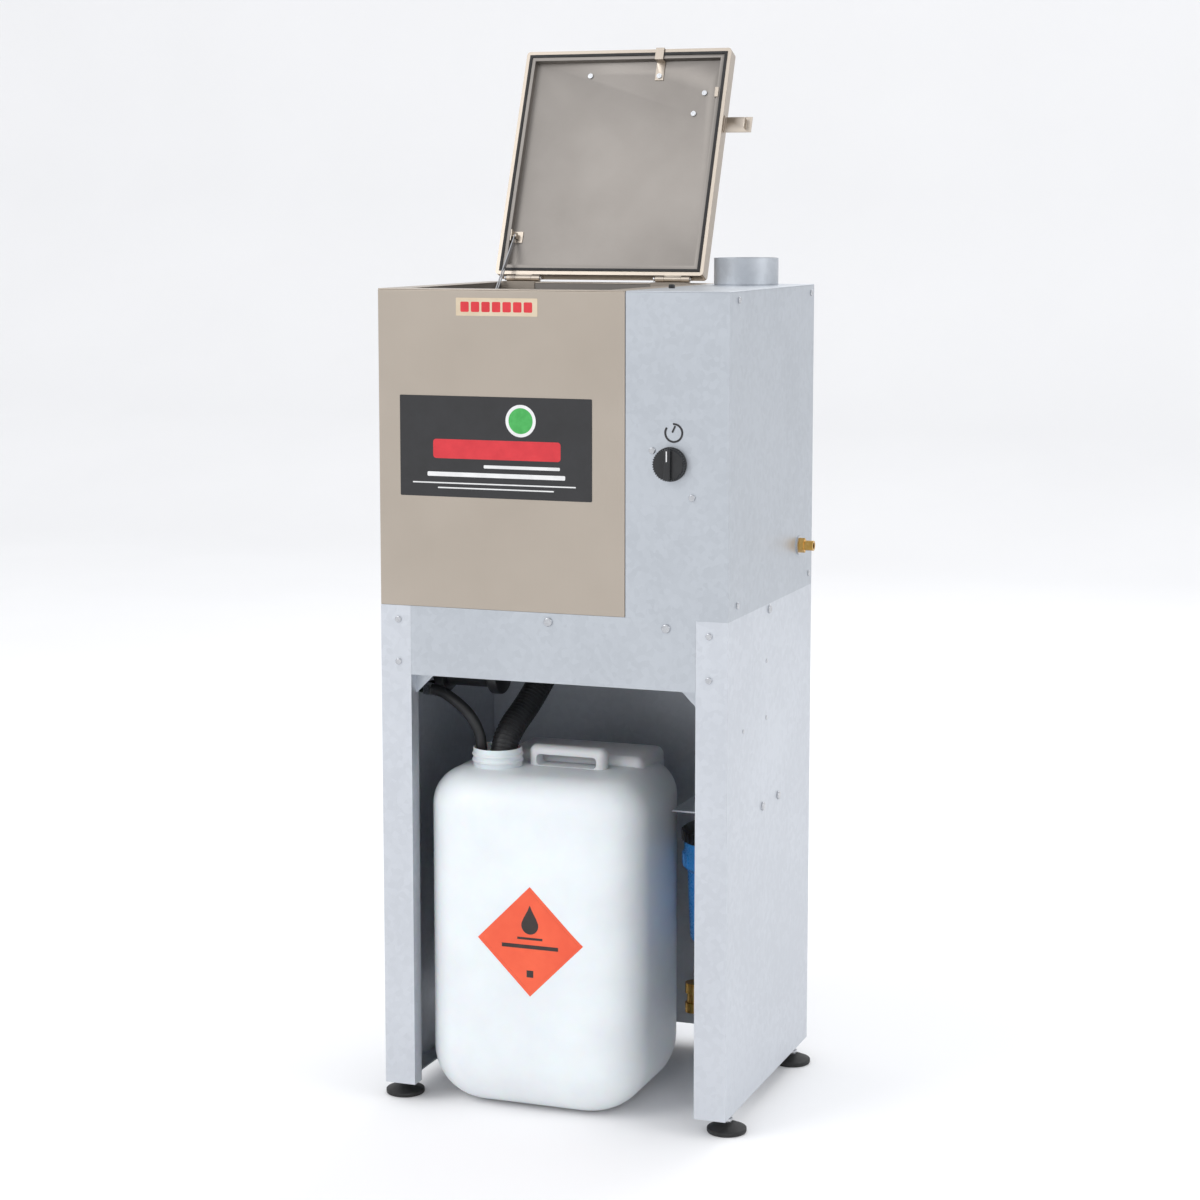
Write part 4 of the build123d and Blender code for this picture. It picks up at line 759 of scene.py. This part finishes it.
@dataclass
class Filter:
    """The blue bowl under its black head, in millimetres."""

    x: float = 168.0
    y: float = 0.0
    head_radius: float = 55.0
    head_low: float = 336.0
    head_top: float = 356.0
    ring_low: float = 302.0
    bowl_low: float = 201.0

    def ribs(self, bm: bmesh.types.BMesh, radius: float, low: float, high: float, count: int,
             width: float) -> None:
        """Adds upright grip ribs round a drum.

        Args:
            bm: the mesh they go into.
            radius: how far out they stand.
            low: lowest level.
            high: highest level.
            count: how many.
            width: width of one.
        """
        for step in range(count):
            angle = math.tau * step / count
            out = Vector((math.cos(angle), math.sin(angle), 0))
            centre = mm(self.x, self.y, (low + high) / 2) + out * (radius - 1.5) * MM
            size = mm(3.0, width, high - low) / 2
            block(bm, centre - size, centre + size, 0.6, 2, Matrix.Rotation(angle, 4, "Z"))

    def build(self) -> None:
        """Turns the head and the bowl."""
        r, t, low = self.head_radius, self.head_top, self.head_low
        head = bmesh.new()
        turned(head, [(0, low), (r - 4, low), (r - 2.5, low + 1), (r - 2.5, t - 5), (r - 4.5, t - 2),
                      (r - 9, t), (0, t)], mm(self.x, self.y, 0))
        self.ribs(head, r - 0.2, low + 1.5, t - 5, 36, 3.2)
        high_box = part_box("filter_cap")[1]
        disc(head, mm(self.x, self.y, t - 1), Vector((0, 0, 1)), 30.0, high_box[2] / MM - t + 1, 48, 1.0)
        for side in (-1, 1):
            disc(head, mm(self.x, self.y + side * 50, 346), Vector((0, side, 0)), 11.0, 22.0, 6, 0.8)
        piece("filter_head", head, BLACK_NYLON, Body.ROOT, ("filter_cap",))
        b, ring = self.bowl_low, self.ring_low
        bowl = bmesh.new()
        outer = [(0, b), (30, b), (39, b + 2), (43, b + 8), (45.5, b + 60), (46.5, ring - 5),
                 (50, ring - 1.5), (52.5, ring + 1), (52.5, ring + 20), (51, ring + 22), (51, low - 0.4)]
        inner = [(44, low - 0.4), (44, ring), (42.5, ring - 5), (40, b + 10), (36, b + 5), (0, b + 4)]
        turned(bowl, outer + inner, mm(self.x, self.y, 0))
        self.ribs(bowl, 53.6, ring + 2, ring + 19, 24, 4.0)
        piece("filter_bowl_moulding", bowl, BLUE_POLYPROPYLENE, Body.BOWL, ("filter_bowl",))


@dataclass
class TimerKnob:
    """The black timer knob with its grip bar and white line, in millimetres."""

    x: float = 156.0
    z: float = 840.0
    radius: float = 21.0
    depth: float = 16.0

    def build(self) -> None:
        """Turns the skirt, adds the grip bar and the line."""
        face = Vector((0, -1, 0))
        r, d = self.radius, self.depth
        low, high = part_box("timer_knob")
        out = -low[1] / MM + FRONT
        bm = bmesh.new()
        turned(bm, [(0, 0.4), (r, 0.4), (r, 2.2), (r - 1.2, 3.2), (r - 1.8, d * 0.62), (r - 2.6, d * 0.68),
                    (0, d * 0.68)], mm(self.x, FRONT, self.z), face)
        for step in range(40):
            angle = math.tau * step / 40
            spot = mm(self.x + (r - 1.5) * math.cos(angle), FRONT - d * 0.42,
                      self.z + (r - 1.5) * math.sin(angle))
            block(bm, spot - mm(0.6, d * 0.24, 0.6), spot + mm(0.6, d * 0.24, 0.6), 0.35, 2,
                  Matrix.Rotation(-angle, 4, "Y"))
        block(bm, mm(self.x - 4.2, FRONT - out, self.z - r + 2.2),
              mm(self.x + 4.2, FRONT - d * 0.6, self.z + r - 2.2), 1.8, 4)
        piece("timer_knob_moulding", bm, BLACK_NYLON, Body.KNOB)
        line = bmesh.new()
        block(line, mm(self.x - 0.8, FRONT - out - 0.05, self.z + 4),
              mm(self.x + 0.8, FRONT - out + 0.3, self.z + r - 4), 0.1, 1)
        piece("timer_knob_line", line, WHITE_INK, Body.KNOB)
        shaft = bmesh.new()
        disc(shaft, mm(self.x, FRONT - 3, self.z), Vector((0, 1, 0)), 2.8,
             (high[1] - FRONT * MM) / MM + 3, 32, 0.4)
        piece("timer_shaft", shaft, BRIGHT_ZINC, Body.KNOB, ("timer_knob",))


@dataclass
class CabinetPrints:
    """The plain printed panels on the cabinet's front, in millimetres."""

    proud: float = 0.4
    ink: float = 0.06

    def patch(self, name: str, x0: float, x1: float, z0: float, z1: float, finish: Finish, layer: int,
              round_mm: float = 0.8, nodes: tuple[str, ...] = ()) -> None:
        """A printed patch with rounded corners.

        Args:
            name: the piece's name.
            x0: left edge.
            x1: right edge.
            z0: lower edge.
            z1: upper edge.
            finish: its ink.
            layer: how many prints lie under it.
            round_mm: corner radius.
            nodes: nodes that it stands for.
        """
        bm = bmesh.new()
        back = FRONT - (0.0 if layer == 0 else self.proud + self.ink * (layer - 1))
        front = FRONT - self.proud - self.ink * layer
        block(bm, mm(x0, front, z0), mm(x1, back, z1))
        corners = [e for e in bm.edges if abs(e.verts[0].co.y - e.verts[1].co.y) > 1e-6]
        bmesh.ops.bevel(bm, geom=corners, offset=round_mm * MM, affect="EDGES", segments=4, profile=0.5,
                        material=-1)
        piece(name, bm, finish, Body.ROOT, nodes)

    def build(self) -> None:
        """Prints the name panel, the contents strip and the timer's symbol."""
        self.patch("panel_ground", -201, 55, 790, 916, BLACK_VINYL, 0, 1.5, ("cabinet_labels",))
        self.patch("panel_band", -156, 14, 838, 862, RED_INK, 1, 4.0)
        self.patch("panel_rule_wide", -88, 13, 827, 831, WHITE_INK, 1, 1.0)
        self.patch("panel_rule_long", -164, 20, 815.5, 821, WHITE_INK, 1, 1.4)
        for index, (x0, x1, z) in enumerate(((-184, 34, 806.5), (-150, 5, 800.5))):
            self.patch(f"panel_rule_fine_{index}", x0, x1, z, z + 1.6, WHITE_INK, 1, 0.6)
        for name, radius, finish, layer in (("panel_spot_rim", 20.0, WHITE_INK, 1),
                                            ("panel_spot", 16.0, GREEN_INK, 2)):
            spot = bmesh.new()
            place = mm(-38.6, FRONT - self.proud - self.ink * (layer - 1), 887)
            disc(spot, place, Vector((0, -1, 0)), radius, self.ink, 56)
            piece(name, spot, finish)
        self.patch("strip_ground", -124, -16, 1015.3, 1037.4, BEIGE_VINYL, 0, 1.0)
        for index in range(7):
            left = -118 + index * 14.0
            self.patch(f"strip_bar_{index}", left, left + 11.2, 1020.0, 1032.6, RED_INK, 1, 1.6)
        self.timer_symbol()

    def timer_symbol(self) -> None:
        """Prints a dial ring, open at the top left, with a pointer."""
        bm = bmesh.new()
        centre, outer, inner = mm(160, FRONT - self.proud, 878), 12.0, 9.6
        rim = [bm.verts.new(centre + mm(r, 0, 0)) for r in (inner, outer)]
        edge = bm.edges.new(rim)
        bmesh.ops.rotate(bm, verts=rim, cent=centre, matrix=Matrix.Rotation(math.radians(-95), 3, "Y"))
        bmesh.ops.spin(bm, geom=[*rim, edge], axis=(0, 1, 0), cent=centre, angle=math.radians(310), steps=44)
        block(bm, centre + mm(-1.1, -0.01, 0), centre + mm(1.1, 0.01, 9.0),
              turn=Matrix.Rotation(math.radians(25), 4, "Y"))
        flat = [f for f in bm.faces if abs(f.normal.y) > 0.9 and f.calc_area() > 0]
        grown = bmesh.ops.extrude_face_region(bm, geom=flat)["geom"]
        bmesh.ops.translate(bm, verts=points_of(grown), vec=(0, -self.ink * MM, 0))
        clean(bm)
        piece("timer_symbol", bm, BLACK_VINYL)


@dataclass
class Hose:
    """A rubber hose between the stand and the drum, in millimetres."""

    node: str
    route: list[tuple[float, float, float]]
    radius: float
    bend_start: float
    bend_end: float
    length_m: float
    ribbed_share: float = 0.0

    def build(self) -> None:
        """Sweeps the hose and its corrugations."""
        mesh = tube_mesh(self.route, self.radius)
        mesh.materials.clear()
        mesh.materials.append(HOSE_RUBBER.material())
        for face in mesh.polygons:
            face.use_smooth = True
        mesh.set_sharp_from_angle(angle=math.radians(50))
        made = bpy.data.objects.new(self.node + "_rubber", mesh)
        bpy.context.scene.collection.objects.link(made)
        path = smooth_route(self.route, 2.0)
        last = mm(*self.route[-1])
        if (path[-1] - last).length > 1e-6:
            path.append(last)
        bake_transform(made)
        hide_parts(self.node)
        if self.ribbed_share:
            self.rings(path)
        LOG.info("%s: %d faces, %s", made.name, len(mesh.polygons), HOSE_RUBBER.name)

    def rings(self, path: list[Vector]) -> bpy.types.Object:
        """Adds the moulded corrugations along the upper part.

        Args:
            path: the hose's centre line; not used.

        Returns:
            The corrugations.
        """
        bm = bmesh.new()
        spaced = smooth_route(self.route, 4.2)
        keep = spaced[6:int(len(spaced) * self.ribbed_share)]
        for before, after in zip(keep, keep[1:]):
            turned(bm, [(self.radius - 0.4, -1.1), (self.radius + 0.9, -0.55), (self.radius + 0.9, 0.55),
                        (self.radius - 0.4, 1.1), (self.radius - 0.4, -1.1)], before,
                   (after - before).normalized(), 28)
        made = piece(self.node + "_corrugations", bm, HOSE_RUBBER, None)
        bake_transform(made)
        return made


@dataclass
class Studio:
    """The floor, the lights and the camera."""

    camera_place: tuple[float, float, float] = (1179.8, -3218.5, 1142.1)
    yaw_deg: float = 20.1731
    pitch_deg: float = -7.2788
    lens_mm: float = 79.857
    shift_y: float = -0.04

    def floor(self) -> None:
        """Lays a wide pale floor that curves up far behind."""
        bm = bmesh.new()
        profile = [(-9.0, 0.0), (5.0, 0.0), (6.2, 0.35), (7.0, 1.2), (7.3, 2.4), (7.3, 7.0)]
        verts = [bm.verts.new((-9.0, y, z)) for y, z in profile]
        edges = [bm.edges.new(pair) for pair in zip(verts, verts[1:])]
        grown = bmesh.ops.extrude_edge_only(bm, edges=edges)["geom"]
        bmesh.ops.translate(bm, verts=points_of(grown), vec=(18.0, 0, 0))
        bmesh.ops.recalc_face_normals(bm, faces=bm.faces)
        if bm.faces[:][0].normal.z < 0:
            bmesh.ops.reverse_faces(bm, faces=bm.faces)
        mesh = bpy.data.meshes.new("studio_floor")
        bm.to_mesh(mesh)
        bm.free()
        for face in mesh.polygons:
            face.use_smooth = True
        mesh.materials.append(FLOOR_PAINT.material())
        made = bpy.data.objects.new("studio_floor", mesh)
        bpy.context.scene.collection.objects.link(made)

    def lamp(self, name: str, place: tuple[float, float, float], size: float, power: float) -> None:
        """Hangs a soft square lamp that looks at the object's middle.

        Args:
            name: its name.
            place: where it hangs, in metres.
            size: its width.
            power: its power in watts.
        """
        light = bpy.data.lights.new(name, "AREA")
        light.shape, light.size, light.energy = "SQUARE", size, power
        made = bpy.data.objects.new(name, light)
        made.location = place
        made.rotation_euler = (Vector((0, 0, 0.6)) - Vector(place)).to_track_quat("-Z", "Y").to_euler()
        bpy.context.scene.collection.objects.link(made)

    def sky(self) -> None:
        """Gives an even pale surrounding light."""
        world = bpy.data.worlds.new("studio_light")
        world.use_nodes = True
        world.node_tree.nodes.clear()
        glow = add_node(world.node_tree, "ShaderNodeBackground",
                        inputs={"Color": linear("f6f7fa"), "Strength": 1.0})
        add_node(world.node_tree, "ShaderNodeOutputWorld", inputs={"Surface": glow.outputs["Background"]})
        bpy.context.scene.world = world

    def camera(self) -> None:
        """Sets the camera."""
        data = bpy.data.cameras.new("studio_camera")
        data.sensor_width, data.lens, data.shift_y, data.clip_end = 36.0, self.lens_mm, self.shift_y, 60.0
        made = bpy.data.objects.new("studio_camera", data)
        yaw, pitch = math.radians(self.yaw_deg), math.radians(self.pitch_deg)
        ahead = Vector((-math.sin(yaw) * math.cos(pitch), math.cos(yaw) * math.cos(pitch), math.sin(pitch)))
        made.location = mm(*self.camera_place)
        made.rotation_euler = ahead.to_track_quat("-Z", "Y").to_euler()
        bpy.context.scene.collection.objects.link(made)
        bpy.context.scene.camera = made

    def build(self) -> None:
        """Sets up the whole studio."""
        self.camera()
        self.floor()
        self.sky()
        self.lamp("key_lamp", (-2.6, -3.4, 3.6), 2.4, 62.0)
        self.lamp("side_lamp", (3.6, -0.8, 2.2), 2.0, 22.0)
        self.lamp("back_lamp", (0.5, 3.2, 3.4), 2.4, 40.0)
        bpy.context.scene.view_settings.view_transform = "Standard"


def main() -> None:
    """Builds the washer's pieces in order."""
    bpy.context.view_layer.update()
    Studio().build()
    SheetMetal().build()
    Fasteners().build()
    for node, x, y in (("foot_front_left", -220, -146), ("foot_front_right", 220, -146),
                       ("foot_back_left", -220, 146), ("foot_back_right", 220, 146)):
        LevellingFoot(node, x, y).build()
    drum = Drum()
    drum.dress_label(drum.build())
    Filter().build()
    TimerKnob().build()
    CabinetPrints().build()
    Hose("suction_hose", [(-198, -118, 532), (-180, -118, 532), (-160, -120.5, 522), (-140, -120.5, 507),
                          (-126, -117, 485), (-122.5, -112, 459), (-123, -113, 432)],
         7.0, 525, 455, 0.1455).build()
    Hose("drain_hose", [(-66, 20, 616), (-66, 20, 590), (-69, 2, 562), (-76, -25, 533), (-84, -53, 506),
                        (-95, -84, 481), (-100, -99, 455), (-100, -102, 427)],
         16.5, 600, 455, 0.236, 0.97).build()


if __name__ == "__main__":
    main()
